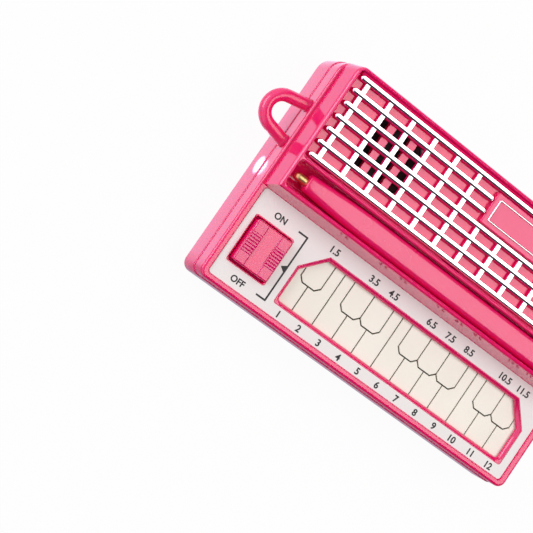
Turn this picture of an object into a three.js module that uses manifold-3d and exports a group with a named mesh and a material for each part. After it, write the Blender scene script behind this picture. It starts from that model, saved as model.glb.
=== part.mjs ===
// Pocket stylus synthesizer: a two-part case with a stylus keyboard, a speaker grille and a battery bay.
// Millimetres. +X runs along the keyboard, +Y to the back, +Z up; the origin is the middle of the base.

import * as THREE from 'three';
import { mergeVertices } from 'three/addons/utils/BufferGeometryUtils.js';
import Module from 'manifold-3d';

// Case
const PARTING_HEIGHT = 6.5;
const RIM_HEIGHT = 11.25;
const WALL = 1.5;
const FLOOR = 1.8;
const FRONT_CORNER = 1.8;
const BACK_CORNER = 3;
const BASE_ROUND = 0.4;
const BASE_STEP = 0.2;
const RIM_ROUND = 0.6;
const SEAM = 0.2;
const TONGUE_HEIGHT = 0.8;
const TONGUE_THICKNESS = 0.6;

// Gaps: round a piece set into another, round a piece that moves, and between faces that only meet
const FIT = 0.15;
const RUNNING_GAP = 0.25;
const THIN_GAP = 0.1;

// Raised rear block
const BLOCK_SHOULDER = 0.7;
const BLOCK_SIDE_LEAN = 0.85;
const BLOCK_FRONT_LEAN = 1.05;
const BLOCK_BACK_LEAN = 0.15;
const BLOCK_ROUND = 0.8;
const BLOCK_CORNER = 2;
const FRONT_LIP = 0.85;
const MIDDLE_LIP = 0.8;
const BACK_LAND = 0.85;
const SIDE_LAND = 0.85;
const LIP_ROUND = 0.35;

// Control panel and the deck under it
const PANEL_SIDE_RIM = 1.5;
const PANEL_FRONT_RIM = 1.3;
const PANEL_THICKNESS = 0.5;
const PANEL_SINK = 0.3;
const PANEL_CORNER = 0.7;
const RIM_LIP_ROUND = 0.2;
const DECK = 0.75;

// Keyboard
const KEY_COUNT = 12;
const KEY_PITCH = 5.25;
const KEY_GAP = 0.3;
const PAD_THICKNESS = 0.4;
const PAD_UNDER_DECK = 0.1;
const PAD_OVERLAP = 0.5;
const HALF_KEY_REACH = 6.3;
const HALF_KEY_CHAMFER = 1;
const HALF_KEY_AFTER = [true, false, true, true, false, true, true, true, false, true, true, false];
const WINDOW_FRONT = 2.75;
const WINDOW_DEPTH = 13.6;
const WINDOW_BACK = 3.75;
const WINDOW_RIGHT = 2.1;
const WINDOW_MARGIN = 0.5;
const WINDOW_CHAMFER_X = 4.75;
const WINDOW_CHAMFER_Y = 5.15;
const WINDOW_CORNER = 0.6;
const WINDOW_LAND = 0.15;
const WINDOW_BEVEL = 0.65;

// Slide switch
const SWITCH_LEFT = 1.75;
const SWITCH_TO_KEYS = 3.65;
const SWITCH_BACK_EDGE = 5.43;
const CAP_WIDTH = 8.6;
const CAP_LENGTH = 9.4;
const CAP_TRAVEL = 0.5;
const CAP_RISE = 1.6;
const CAP_FLANGE = 0.3;
const CAP_FLANGE_HOLD = 0.4;
const CAP_ROUND = 0.35;
const CAP_CORNER = 0.5;
const CAP_CHANNEL_WIDTH = 3.1;
const CAP_CHANNEL_DEPTH = 0.2;
const CAP_RIBS = 7;
const CAP_RIB_PITCH = 0.64;
const CAP_RIB_WIDTH = 0.4;
const CAP_RIB_HEIGHT = 0.2;
const CAP_RIB_MARGIN = 0.4;
const SWITCH_BEVEL = 0.15;
const SWITCH_LAND = 0.05;
const SWITCH_BODY_WIDTH = 4.4;
const SWITCH_BODY_LENGTH = 8.6;
const SWITCH_BODY_HEIGHT = 3.5;
const SWITCH_SLOT_DEPTH = 2.5;
const LEVER_SIZE = 2;
const LEVER_IN_CAP = 1.4;

// Stylus, its trough and the inlet for its lead
const TROUGH_GAP = 0.25;
const TROUGH_CORNER = 0.9;
const STYLUS_SINK = 0.3;
const STYLUS_REST_GAP = 0.1;
const BARREL_RADIUS = 2.6;
const BARREL_NOSE_RADIUS = 1.9;
const BARREL_TAPER = 16;
const BARREL_ROUND = 0.4;
const BARREL_FLAT = 1.6;
const BARREL_SWELL = 0.13;
const BARREL_BORE_DEPTH = 3;
const TIP_RADIUS = 0.85;
const TIP_REACH = 2.9;
const TIP_SHANK = 2.5;
const TIP_DOME = 1.2;
const TIP_END_GAP = 1.1;
const LEAD_RADIUS = 0.6;
const LEAD_SOCKET = 1.5;
const LEAD_ROOM = 3.1;
const LEAD_END_GAP = 2.1;
const GROMMET_FLANGE_RADIUS = 1.6;
const GROMMET_FLANGE = 0.5;
const GROMMET_WALL = 0.5;

// Speaker grille, badge and sound holes
const RECESS_DEPTH = 1.65;
const RECESS_FLOOR = 1.2;
const RECESS_CORNER = 0.5;
const GRILLE_ROWS = 7;
const GRILLE_ROW_PITCH = 3;
const GRILLE_MARGIN = 1.1;
const GRILLE_CROSS_PITCH = 6.05;
const GRILLE_FIRST_CROSS = 2.3;
const GRILLE_END_GAP = 0.6;
const GRILLE_BAR_WIDTH = 0.9;
const GRILLE_CROSS_WIDTH = 1.05;
const GRILLE_BAR_HEIGHT = 1.2;
const GRILLE_SINK = 0.3;
const GRILLE_CROSS_SINK = 0.35;
const GRILLE_TAB_LENGTH = 4.6;
const GRILLE_TAB_THICKNESS = 0.5;
const GRILLE_TAB_SLOT_REACH = 0.3;
const GRILLE_TAB_INSET = 4.7;
const GRILLE_MIDDLE_TAB = 0.6;
const BADGE_LEFT = 0;
const BADGE_ROWS = [1, 2];
const BADGE_END_GAP = 1.6;
const BADGE_GAP = 0.4;
const BADGE_HEIGHT = 1.15;
const BADGE_CORNER = 0.4;
const BADGE_ROUND = 0.35;
const TRIM_INSET = 1.1;
const TRIM_WIDTH = 0.35;
const TRIM_HEIGHT = 0.25;
const SOUND_HOLE_HEIGHT = 2;
const SOUND_HOLE_MIDDLE = 3.8;
const SOUND_HOLE_SIDE = 2.3;
const SOUND_HOLE_SPACING = 4.75;
const SOUND_HOLE_ROWS = [1, 2, 3, 4];

// Speaker
const SPEAKER_X = -23.5;
const SPEAKER_GAP = 0.27;
const SPEAKER_RIM = 1;
const SPEAKER_BASKET_DEPTH = 4.2;
const SPEAKER_BASKET_RADIUS = 5.4;
const SPEAKER_SHEET = 0.8;
const SPEAKER_RING = 1;
const SPEAKER_RING_HEIGHT = 3;
const CONE_SHEET = 0.4;
const CONE_MARGIN = 1.6;
const CONE_CAP_RADIUS = 2.6;
const CONE_DEPTH = 2.2;
const MAGNET_RADIUS = 5.1;
const MAGNET_HEIGHT = 2.5;
const TERMINAL_WIDTH = 5;
const TERMINAL_SPACING = 3.2;
const TERMINAL_REACH = 2.6;
const TERMINAL_THICKNESS = 0.8;

// Circuit board
const BOARD_THICKNESS = 1.2;
const BOARD_SIDE_GAP = 0.9;
const BOARD_FRONT_GAP = 0.8;
const BOARD_POST_RADIUS = 1.2;
const BOARD_POST_INSET = 3;
const BOARD_POST_SIDE = 1.6;
const CHIP_RADIUS = 3.4;
const CHIP_HEIGHT = 1.3;
const CHIP_X = 8;

// Batteries and their door
const CELL_COUNT = 3;
const CELL_RADIUS = 5.8;
const CELL_THICKNESS = 5.4;
const CELL_ROUND = 0.4;
const CELL_GAP = 0.05;
const CELL_ABOVE_DOOR = 0.3;
const CELL_HEADROOM = 0.4;
const BAY_TO_SCREW = 0.4;
const BAY_WALL = 1.2;
const BAY_END_RISE = 1.7;
const CONTACT_SHEET = 0.4;
const CONTACT_WIDTH = 7;
const CONTACT_HEIGHT = 8;
const CONTACT_BUMP_RADIUS = 1.6;
const CONTACT_BUMP = 0.6;
const DOOR_SINK = 0.1;
const DOOR_SHEET = 0.9;
const DOOR_PLUG = 0.7;
const DOOR_LEDGE = 1.3;
const DOOR_CORNER = 1;
const DOOR_TAB_RADIUS = 3.2;

// Screws
const SCREW_HEAD_RADIUS = 1.9;
const SCREW_HEAD_HEIGHT = 1.3;
const SCREW_HEAD_ROUND = 0.4;
const SCREW_RADIUS = 1;
const SCREW_LENGTH = 6.2;
const SCREW_POINT = 0.8;
const SCREW_SEAT = 3;
const SCREW_POST_WALL = 0.7;
const SCREW_BOSS_WALL = 1.2;
const SCREW_CROSS_LENGTH = 2.2;
const SCREW_CROSS_WIDTH = 0.55;
const SCREW_CROSS_DEPTH = 0.5;
const SCREW_SIDE_INSET = 4.3;
const SCREW_BACK_INSET = 4.4;
const DOOR_SCREW_HEAD = 0.65;

// Strap loop
const LOOP_FORWARD = 4.9;
const LOOP_ROD_RADIUS = 1.33;
const LOOP_BEND = 3.42;
const LOOP_FLARE = Math.PI / 15;
const LOOP_REACH = 3.8;
const LOOP_STUB = 0.4;
const LOOP_ROOT = 1.2;

// Wires
const WIRE_RADIUS = 0.4;
const WIRE_DROP = 1.3;
const BATTERY_WIRE_SHIFT = 4.5;

// Smoothness
const ARC_STEPS = 4;
const ROUND_STEPS = 5;
const TURN_STEPS = 24;
const ROD_SIDES = 12;
const LOOP_STEPS = 40;
const WIRE_SIDES = 8;
const WELD = 1e-4;
const PAST = 1;
const FLAT_BIT = 0.02;

const wasm = await Module();
wasm.setup();

// Lengths, depths and levels that follow from the sizes above
const switchOpening = CAP_WIDTH + 2 * (RUNNING_GAP + SWITCH_BEVEL + SWITCH_LAND);
const windowLength = KEY_COUNT * KEY_PITCH - 2 * WINDOW_MARGIN;
const panelLength = SWITCH_LEFT + switchOpening + SWITCH_TO_KEYS + windowLength + WINDOW_RIGHT;
const panelDepth = WINDOW_FRONT + WINDOW_DEPTH + WINDOW_BACK;
const panelHalf = panelLength / 2;
const caseHalf = panelHalf + PANEL_SIDE_RIM;
const troughWidth = 2 * (BARREL_RADIUS + TROUGH_GAP);
const troughDepth = BARREL_RADIUS + BARREL_FLAT + STYLUS_REST_GAP + STYLUS_SINK;
const recessDepthY = (GRILLE_ROWS - 1) * GRILLE_ROW_PITCH + 2 * GRILLE_MARGIN;
const blockLeans = BLOCK_FRONT_LEAN + BLOCK_BACK_LEAN;
const blockDepth = blockLeans + FRONT_LIP + troughWidth + MIDDLE_LIP + recessDepthY + BACK_LAND;
const caseDepth = PANEL_FRONT_RIM + panelDepth + blockDepth;
const caseFront = -caseDepth / 2;
const caseBack = caseDepth / 2;

const doorTop = DOOR_SINK + DOOR_SHEET + DOOR_PLUG;
const ledgeTop = DOOR_SINK + DOOR_SHEET + THIN_GAP;
const cellZ = doorTop + CELL_ABOVE_DOOR + CELL_RADIUS;
const recessUnder = cellZ + CELL_RADIUS + CELL_HEADROOM;
const recessFloor = recessUnder + RECESS_FLOOR;
const blockTop = recessFloor + RECESS_DEPTH;
const blockRise = blockTop - RIM_HEIGHT;
const panelFace = RIM_HEIGHT - PANEL_SINK;
const panelSeat = panelFace - PANEL_THICKNESS;
const deckUnder = panelSeat - DECK;
const panelFront = caseFront + PANEL_FRONT_RIM;
const panelBack = panelFront + panelDepth;

const blockFootHalf = caseHalf - BLOCK_SHOULDER;
const blockTopHalf = blockFootHalf - BLOCK_SIDE_LEAN;
const troughFront = panelBack + BLOCK_FRONT_LEAN + FRONT_LIP;
const troughBack = troughFront + troughWidth;
const troughY = (troughFront + troughBack) / 2;
const troughFloor = blockTop - troughDepth;
const recessHalf = blockTopHalf - SIDE_LAND;
const recessFront = troughBack + MIDDLE_LIP;
const recessBack = recessFront + recessDepthY;
const recessY = (recessFront + recessBack) / 2;
const barY = (row) => recessY + ((GRILLE_ROWS - 1) / 2 - row) * GRILLE_ROW_PITCH;
const badgeBackRow = Math.min(...BADGE_ROWS) - 1;
const badgeFrontRow = Math.max(...BADGE_ROWS) + 1;
const underGrilleFront = troughBack + WALL;
const underGrilleBack = recessBack + BACK_LAND - WALL;

const bossRadius = SCREW_RADIUS + FIT + SCREW_BOSS_WALL;
const postRadius = SCREW_HEAD_RADIUS + FIT + SCREW_POST_WALL;
const screwX = caseHalf - SCREW_SIDE_INSET;
const screwPlaces = [
  ['left_front', -screwX, panelBack],
  ['right_front', screwX, panelBack],
  ['left_back', -screwX, caseBack - SCREW_BACK_INSET],
  ['right_back', screwX, caseBack - SCREW_BACK_INSET],
];

const padTop = deckUnder - PAD_UNDER_DECK;
const boardTop = padTop - PAD_THICKNESS;
const boardUnder = boardTop - BOARD_THICKNESS;
const boardFront = caseFront + WALL + BOARD_FRONT_GAP;
const boardBack = panelBack - bossRadius - FIT;
const boardHalf = caseHalf - WALL - BOARD_SIDE_GAP;
const windowFront = panelFront + WINDOW_FRONT;
const windowBack = windowFront + WINDOW_DEPTH;
const keyboardX = panelHalf - WINDOW_RIGHT - windowLength / 2;

const switchX = -panelHalf + SWITCH_LEFT + switchOpening / 2;
const switchHoleBack = panelBack - SWITCH_BACK_EDGE - SWITCH_BEVEL;
const switchHoleFront = switchHoleBack - CAP_LENGTH - CAP_TRAVEL - 2 * FIT;
const switchHoleHalf = CAP_WIDTH / 2 + RUNNING_GAP;
const capY = (switchHoleFront + switchHoleBack) / 2;
const capTop = panelFace + CAP_RISE;
const capUnder = boardTop + THIN_GAP;
const leverSlotX = LEVER_SIZE / 2 + RUNNING_GAP;
const leverSlotY = LEVER_SIZE / 2 + CAP_TRAVEL / 2 + RUNNING_GAP;

const barrelNoseX = -recessHalf + TIP_END_GAP + TIP_REACH;
const leadX = recessHalf - LEAD_END_GAP;
const barrelLength = leadX - LEAD_ROOM - barrelNoseX;
const stylusZ = troughFloor + BARREL_RADIUS + STYLUS_REST_GAP;
const grommetRadius = LEAD_RADIUS + FIT + GROMMET_WALL;

const speakerRadius = (underGrilleBack - underGrilleFront) / 2 - SPEAKER_GAP;
const speakerY = (underGrilleFront + underGrilleBack) / 2;
const speakerBase = recessUnder - THIN_GAP - SPEAKER_BASKET_DEPTH;

const contactSpace = CONTACT_SHEET + CONTACT_BUMP + FIT + CELL_GAP;
const bayLength = CELL_COUNT * (CELL_THICKNESS + CELL_GAP) + 2 * contactSpace;
const bayRight = screwX - postRadius - BAY_TO_SCREW - BAY_WALL;
const bayLeft = bayRight - bayLength;
const bayY = recessY;
const bayEndTop = cellZ + BAY_END_RISE;
const wireCross = boardUnder - WIRE_DROP;
const baySideTop = wireCross - WIRE_RADIUS - RUNNING_GAP;
const bayHalf = CELL_RADIUS + RUNNING_GAP;
const doorScrewX = bayRight + BAY_WALL + SCREW_RADIUS + FIT + SCREW_BOSS_WALL / 2;
const doorScrewZ = DOOR_SINK + FIT / 2;
const doorScrewLength = baySideTop - BAY_WALL - THIN_GAP - doorScrewZ;

const loopY = recessY - LOOP_FORWARD;
const loopZ = (PARTING_HEIGHT + RIM_HEIGHT) / 2;
const loopRootLength = WALL + LOOP_ROOT;
const loopLeg = LOOP_REACH - LOOP_STUB + LOOP_BEND * Math.sin(LOOP_FLARE);
const loopHalf = LOOP_BEND * Math.cos(LOOP_FLARE) + loopLeg * Math.tan(LOOP_FLARE);
const tabColumns = [-recessHalf + GRILLE_TAB_INSET, GRILLE_MIDDLE_TAB, recessHalf - GRILLE_TAB_INSET];

// Solids from three.js geometry, and back
function solidOf(geometry) {
  const plain = geometry.index ? geometry.toNonIndexed() : geometry.clone();
  plain.deleteAttribute('normal');
  plain.deleteAttribute('uv');
  const welded = mergeVertices(plain, WELD);
  const corners = welded.index.array;
  const triangles = [];
  for (let i = 0; i < corners.length; i += 3) {
    const [a, b, c] = [corners[i], corners[i + 1], corners[i + 2]];
    if (a !== b && b !== c && c !== a) triangles.push(a, b, c);
  }
  return new wasm.Manifold(new wasm.Mesh({
    numProp: 3,
    vertProperties: new Float32Array(welded.attributes.position.array),
    triVerts: new Uint32Array(triangles),
  }));
}

function geometryOf(solid) {
  const mesh = solid.getMesh();
  const geometry = new THREE.BufferGeometry();
  geometry.setAttribute('position', new THREE.BufferAttribute(mesh.vertProperties, 3));
  geometry.setIndex(new THREE.BufferAttribute(mesh.triVerts, 1));
  geometry.computeVertexNormals();
  return geometry;
}

const joined = (solids) => solids.reduce((whole, next) => whole.add(next));
const cutBy = (solid, cutters) => cutters.reduce((whole, cutter) => whole.subtract(cutter), solid);

// Outlines
function roundedRect(x0, x1, y0, y1, frontRadius, backRadius = frontRadius) {
  const shape = new THREE.Shape();
  const quarter = Math.PI / 2;
  shape.moveTo(x0 + frontRadius, y0);
  shape.lineTo(x1 - frontRadius, y0);
  shape.absarc(x1 - frontRadius, y0 + frontRadius, frontRadius, -quarter, 0);
  shape.lineTo(x1, y1 - backRadius);
  shape.absarc(x1 - backRadius, y1 - backRadius, backRadius, 0, quarter);
  shape.lineTo(x0 + backRadius, y1);
  shape.absarc(x0 + backRadius, y1 - backRadius, backRadius, quarter, 2 * quarter);
  shape.lineTo(x0, y0 + frontRadius);
  shape.absarc(x0 + frontRadius, y0 + frontRadius, frontRadius, 2 * quarter, 3 * quarter);
  return shape;
}

function caseOutline(inset) {
  return roundedRect(
    -caseHalf + inset, caseHalf - inset, caseFront + inset, caseBack - inset,
    Math.max(FRONT_CORNER - inset, RIM_ROUND), Math.max(BACK_CORNER - inset, RIM_ROUND),
  );
}

function windowOutline(inset) {
  const left = keyboardX - windowLength / 2 + inset;
  const right = keyboardX + windowLength / 2 - inset;
  const front = windowFront + inset;
  const back = windowBack - inset;
  const slope = Math.hypot(WINDOW_CHAMFER_X, WINDOW_CHAMFER_Y);
  const shrink = (WINDOW_CHAMFER_X + WINDOW_CHAMFER_Y - slope) / WINDOW_CHAMFER_Y;
  const chamferX = WINDOW_CHAMFER_X - inset * shrink;
  const chamferY = chamferX * WINDOW_CHAMFER_Y / WINDOW_CHAMFER_X;
  const radius = WINDOW_CORNER;
  const quarter = Math.PI / 2;
  const shape = new THREE.Shape();
  shape.moveTo(left + radius, front);
  shape.lineTo(right - radius, front);
  shape.absarc(right - radius, front + radius, radius, -quarter, 0);
  shape.lineTo(right, back - chamferY);
  shape.lineTo(right - chamferX, back);
  shape.lineTo(left + chamferX, back);
  shape.lineTo(left, back - chamferY);
  shape.lineTo(left, front + radius);
  shape.absarc(left + radius, front + radius, radius, 2 * quarter, 3 * quarter);
  return shape;
}

function switchOutline(grow) {
  return roundedRect(
    switchX - switchHoleHalf - grow, switchX + switchHoleHalf + grow,
    switchHoleFront - grow, switchHoleBack + grow, CAP_CORNER,
  );
}

// Solid makers
function prism(shape, low, high) {
  const options = { depth: high - low, bevelEnabled: false, curveSegments: ARC_STEPS };
  return solidOf(new THREE.ExtrudeGeometry(shape, options).translate(0, 0, low));
}

function pillowGeometry(shape, low, high, round) {
  return new THREE.ExtrudeGeometry(shape, {
    depth: high - low - 2 * round,
    bevelEnabled: true,
    bevelThickness: round,
    bevelSize: round,
    bevelOffset: -round,
    bevelSegments: ROUND_STEPS,
    curveSegments: ARC_STEPS,
  }).translate(0, 0, low + round);
}

const pillow = (shape, low, high, round) => solidOf(pillowGeometry(shape, low, high, round));

function flaredCut(shape, low, high, run, start = 0) {
  const options = {
    depth: PAST,
    bevelEnabled: true,
    bevelThickness: high - low,
    bevelSize: run,
    bevelOffset: start,
    bevelSegments: 1,
    curveSegments: ARC_STEPS,
  };
  const flare = solidOf(new THREE.ExtrudeGeometry(shape, options).translate(0, 0, high));
  const above = new THREE.Box3(
    new THREE.Vector3(-2 * caseHalf, -caseDepth, high + PAST / 2),
    new THREE.Vector3(2 * caseHalf, caseDepth, high + 2 * PAST + (high - low)),
  );
  return flare.subtract(boxBetween(above));
}

// Cutters that round the lip of an opening at a level, in two steps
function lipCuts(shape, level, round) {
  const edge = round * (1 - Math.SQRT1_2);
  return [
    flaredCut(shape, level - round, level - edge, edge),
    flaredCut(shape, level - edge, level, round - edge, edge),
  ];
}

// A section in Y and Z, swept along X to both sides of the middle
function sweptAlongX(section, half, y, z) {
  const options = { depth: 2 * half, bevelEnabled: false, curveSegments: ROD_SIDES };
  const geometry = new THREE.ExtrudeGeometry(section, options);
  geometry.rotateX(Math.PI / 2).rotateZ(Math.PI / 2);
  return solidOf(geometry.translate(-half, y, z));
}

function boxBetween(limits) {
  const size = limits.getSize(new THREE.Vector3());
  const middle = limits.getCenter(new THREE.Vector3());
  return solidOf(new THREE.BoxGeometry(size.x, size.y, size.z).translate(middle.x, middle.y, middle.z));
}

function block(x0, x1, y0, y1, z0, z1) {
  return boxBetween(new THREE.Box3(new THREE.Vector3(x0, y0, z0), new THREE.Vector3(x1, y1, z1)));
}

function post(x, y, radius, low, high, sides = TURN_STEPS) {
  const cylinder = new THREE.CylinderGeometry(radius, radius, high - low, sides);
  return solidOf(cylinder.rotateX(Math.PI / 2).translate(x, y, (low + high) / 2));
}

const alongX = (solid) => solid.rotate([0, 90, 0]);

function rodAlongX(radius, x0, x1, y) {
  return alongX(post(0, 0, radius, x0, x1, ROD_SIDES)).translate([0, y, loopZ]);
}

// A turned solid about +Z; the profile lists [radius, height] pairs upwards
function turned(profile, sides = TURN_STEPS) {
  const points = profile.map(([radius, height]) => new THREE.Vector2(radius, height));
  return solidOf(new THREE.LatheGeometry(points, sides).rotateX(Math.PI / 2));
}

// The profile of a dome that opens upwards, from its lowest point to its rim
function domeProfile(radius, low, height) {
  const profile = [];
  for (let i = 0; i <= ROUND_STEPS; i += 1) {
    const angle = i / ROUND_STEPS * Math.PI / 2;
    profile.push([radius * Math.sin(angle), low + height * (1 - Math.cos(angle))]);
  }
  return profile;
}

function tube(curve, radius, steps, sides) {
  const section = new THREE.Shape();
  section.absarc(0, 0, radius, 0, 2 * Math.PI);
  const options = { steps, extrudePath: curve, bevelEnabled: false, curveSegments: sides };
  return solidOf(new THREE.ExtrudeGeometry(section, options));
}

// Finishes
function finish(color, roughness, metalness = 0) {
  return new THREE.MeshStandardMaterial({ color, roughness, metalness });
}

const pink = finish(0xee4f86, 0.22);
const panelWhite = finish(0xe2dfe0, 0.45, 0.1);
const padIvory = finish(0xf1ecdc, 0.4);
const chrome = finish(0xe9ebee, 0.08, 1);
const gold = finish(0xd9ae5c, 0.2, 1);
const boardGreen = finish(0x55604a, 0.6);
const blackPlastic = finish(0x1b1b1d, 0.5);
const blackRubber = finish(0x202022, 0.8);
const steel = finish(0xb9bcc0, 0.3, 1);
const ferrite = finish(0x35363a, 0.7);
const conePaper = finish(0x2b2a29, 0.9);
const redWire = finish(0xb8231f, 0.5);
const blackWire = finish(0x222222, 0.5);

const synthesizer = new THREE.Group();

function add(parent, name, solid, material, place = [0, 0, 0]) {
  const mesh = new THREE.Mesh(geometryOf(solid), material);
  mesh.name = name;
  mesh.position.set(...place);
  parent.add(mesh);
}

// Bottom shell
function bottomShell() {
  const whole = pillow(caseOutline(-BASE_STEP), 0, PARTING_HEIGHT + 2 * BASE_ROUND, BASE_ROUND);
  const tray = whole.subtract(prism(caseOutline(-PAST), PARTING_HEIGHT, PARTING_HEIGHT + 3 * BASE_ROUND));
  const inside = prism(caseOutline(WALL), FLOOR, PARTING_HEIGHT + PAST);
  const tongueTop = PARTING_HEIGHT + TONGUE_HEIGHT;
  const tongue = prism(caseOutline(WALL - TONGUE_THICKNESS), PARTING_HEIGHT - PAST, tongueTop)
    .subtract(prism(caseOutline(WALL), PARTING_HEIGHT - 2 * PAST, tongueTop + PAST));

  const posts = screwPlaces.map(([, x, y]) => post(x, y, postRadius, FLOOR / 2, PARTING_HEIGHT));
  const bores = screwPlaces.flatMap(([, x, y]) => [
    post(x, y, SCREW_HEAD_RADIUS + FIT, -PAST, SCREW_SEAT),
    post(x, y, SCREW_RADIUS + FIT, 0, PARTING_HEIGHT + PAST),
  ]);

  const supports = [-1, 1].flatMap((side) => [boardFront, boardBack].map((edge) => {
    const inward = edge === boardFront ? BOARD_POST_INSET : -BOARD_POST_INSET;
    const x = side * (boardHalf - BOARD_POST_SIDE);
    return post(x, edge + inward, BOARD_POST_RADIUS, FLOOR / 2, boardUnder - THIN_GAP, ROD_SIDES);
  }));

  const bayOutside = block(
    bayLeft - BAY_WALL, bayRight + BAY_WALL, bayY - bayHalf - BAY_WALL, bayY + bayHalf + BAY_WALL,
    FLOOR / 2, baySideTop,
  );
  const endWalls = [bayLeft - BAY_WALL, bayRight].map((x) => block(
    x, x + BAY_WALL, bayY - CONTACT_WIDTH / 2, bayY + CONTACT_WIDTH / 2, FLOOR / 2, bayEndTop,
  ));
  const doorPost = post(doorScrewX, bayY, SCREW_RADIUS + FIT + SCREW_BOSS_WALL, FLOOR / 2, baySideTop);
  const bayInside = block(bayLeft, bayRight, bayY - bayHalf, bayY + bayHalf, -PAST, bayEndTop + PAST);
  const doorSeat = prism(doorOutline(FIT), -PAST, ledgeTop).add(prism(doorTab(FIT), -PAST, ledgeTop));
  const doorBore = post(doorScrewX, bayY, SCREW_RADIUS + FIT, 0, baySideTop - BAY_WALL);

  const bay = [bayOutside, ...endWalls, doorPost];
  const solid = joined([tray.subtract(inside), tongue, ...posts, ...supports, ...bay]);
  return cutBy(solid, [...bores, bayInside, doorSeat, doorBore]);
}

function doorOutline(grow) {
  return roundedRect(
    bayLeft - DOOR_LEDGE - grow, bayRight + DOOR_LEDGE + grow,
    bayY - bayHalf - DOOR_LEDGE - grow, bayY + bayHalf + DOOR_LEDGE + grow, DOOR_CORNER,
  );
}

function doorTab(grow) {
  const reach = DOOR_TAB_RADIUS + grow;
  return roundedRect(bayRight - reach, doorScrewX + reach, bayY - reach, bayY + reach, reach - FLAT_BIT);
}

// Top shell
function bevelledHole(shape, bevel) {
  const low = panelFace - bevel;
  return [flaredCut(shape, low, panelFace, bevel), prism(shape, deckUnder - PAST, low + FIT)];
}

function rearBlock() {
  const low = RIM_HEIGHT - 2 * BLOCK_ROUND;
  const outline = roundedRect(
    -blockFootHalf, blockFootHalf, panelBack - 2 * BLOCK_CORNER, caseBack, BLOCK_CORNER,
  );
  const geometry = pillowGeometry(outline, low, blockTop, BLOCK_ROUND);
  const spots = geometry.attributes.position;
  const depth = caseBack - panelBack;
  for (let i = 0; i < spots.count; i += 1) {
    const up = Math.max(0, (spots.getZ(i) - RIM_HEIGHT) / blockRise);
    const share = Math.max(0, (spots.getY(i) - panelBack) / depth);
    spots.setX(i, spots.getX(i) * (1 - up * BLOCK_SIDE_LEAN / blockFootHalf));
    spots.setY(i, spots.getY(i) - up * share * BLOCK_BACK_LEAN);
  }
  return solidOf(geometry).intersect(blockProfile(low));
}

// Everything behind the block's leaning, round-topped front
function blockProfile(low) {
  const lean = Math.atan2(BLOCK_FRONT_LEAN, blockRise);
  const roundZ = blockTop - BLOCK_ROUND;
  const faceY = panelBack + (roundZ - RIM_HEIGHT) * Math.tan(lean);
  const roundY = faceY + BLOCK_ROUND / Math.cos(lean);
  const section = new THREE.Shape();
  section.moveTo(panelBack, low - PAST);
  section.lineTo(panelBack, RIM_HEIGHT);
  section.absarc(roundY, roundZ, BLOCK_ROUND, Math.PI - lean, Math.PI / 2, true);
  section.lineTo(roundY, blockTop + PAST);
  section.lineTo(caseBack + PAST, blockTop + PAST);
  section.lineTo(caseBack + PAST, low - PAST);
  return sweptAlongX(section, caseHalf, 0, 0);
}

function troughCut(outline) {
  const half = troughWidth / 2;
  const radius = half - FLAT_BIT;
  const section = new THREE.Shape();
  section.moveTo(-half - PAST, troughDepth + PAST);
  section.lineTo(-half - PAST, radius);
  section.lineTo(-radius, radius);
  section.absarc(0, radius, radius, Math.PI, 2 * Math.PI);
  section.lineTo(half + PAST, radius);
  section.lineTo(half + PAST, troughDepth + PAST);
  return sweptAlongX(section, caseHalf, troughY, troughFloor)
    .intersect(prism(outline, troughFloor - PAST, blockTop + PAST));
}

function soundHoles() {
  const widths = [[-1, SOUND_HOLE_SIDE], [0, SOUND_HOLE_MIDDLE], [1, SOUND_HOLE_SIDE]];
  return SOUND_HOLE_ROWS.flatMap((row) => widths.map(([column, width]) => {
    const x = SPEAKER_X + column * SOUND_HOLE_SPACING;
    const y = (barY(row) + barY(row + 1)) / 2;
    return block(
      x - width / 2, x + width / 2, y - SOUND_HOLE_HEIGHT / 2, y + SOUND_HOLE_HEIGHT / 2,
      recessUnder - PAST, recessFloor + PAST,
    );
  }));
}

function badgeOutline(inset) {
  return roundedRect(
    BADGE_LEFT + inset, recessHalf - BADGE_END_GAP - inset,
    barY(badgeFrontRow) + GRILLE_BAR_WIDTH / 2 + BADGE_GAP + inset,
    barY(badgeBackRow) - GRILLE_BAR_WIDTH / 2 - BADGE_GAP - inset,
    Math.max(BADGE_CORNER - inset, BADGE_ROUND),
  );
}

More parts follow.
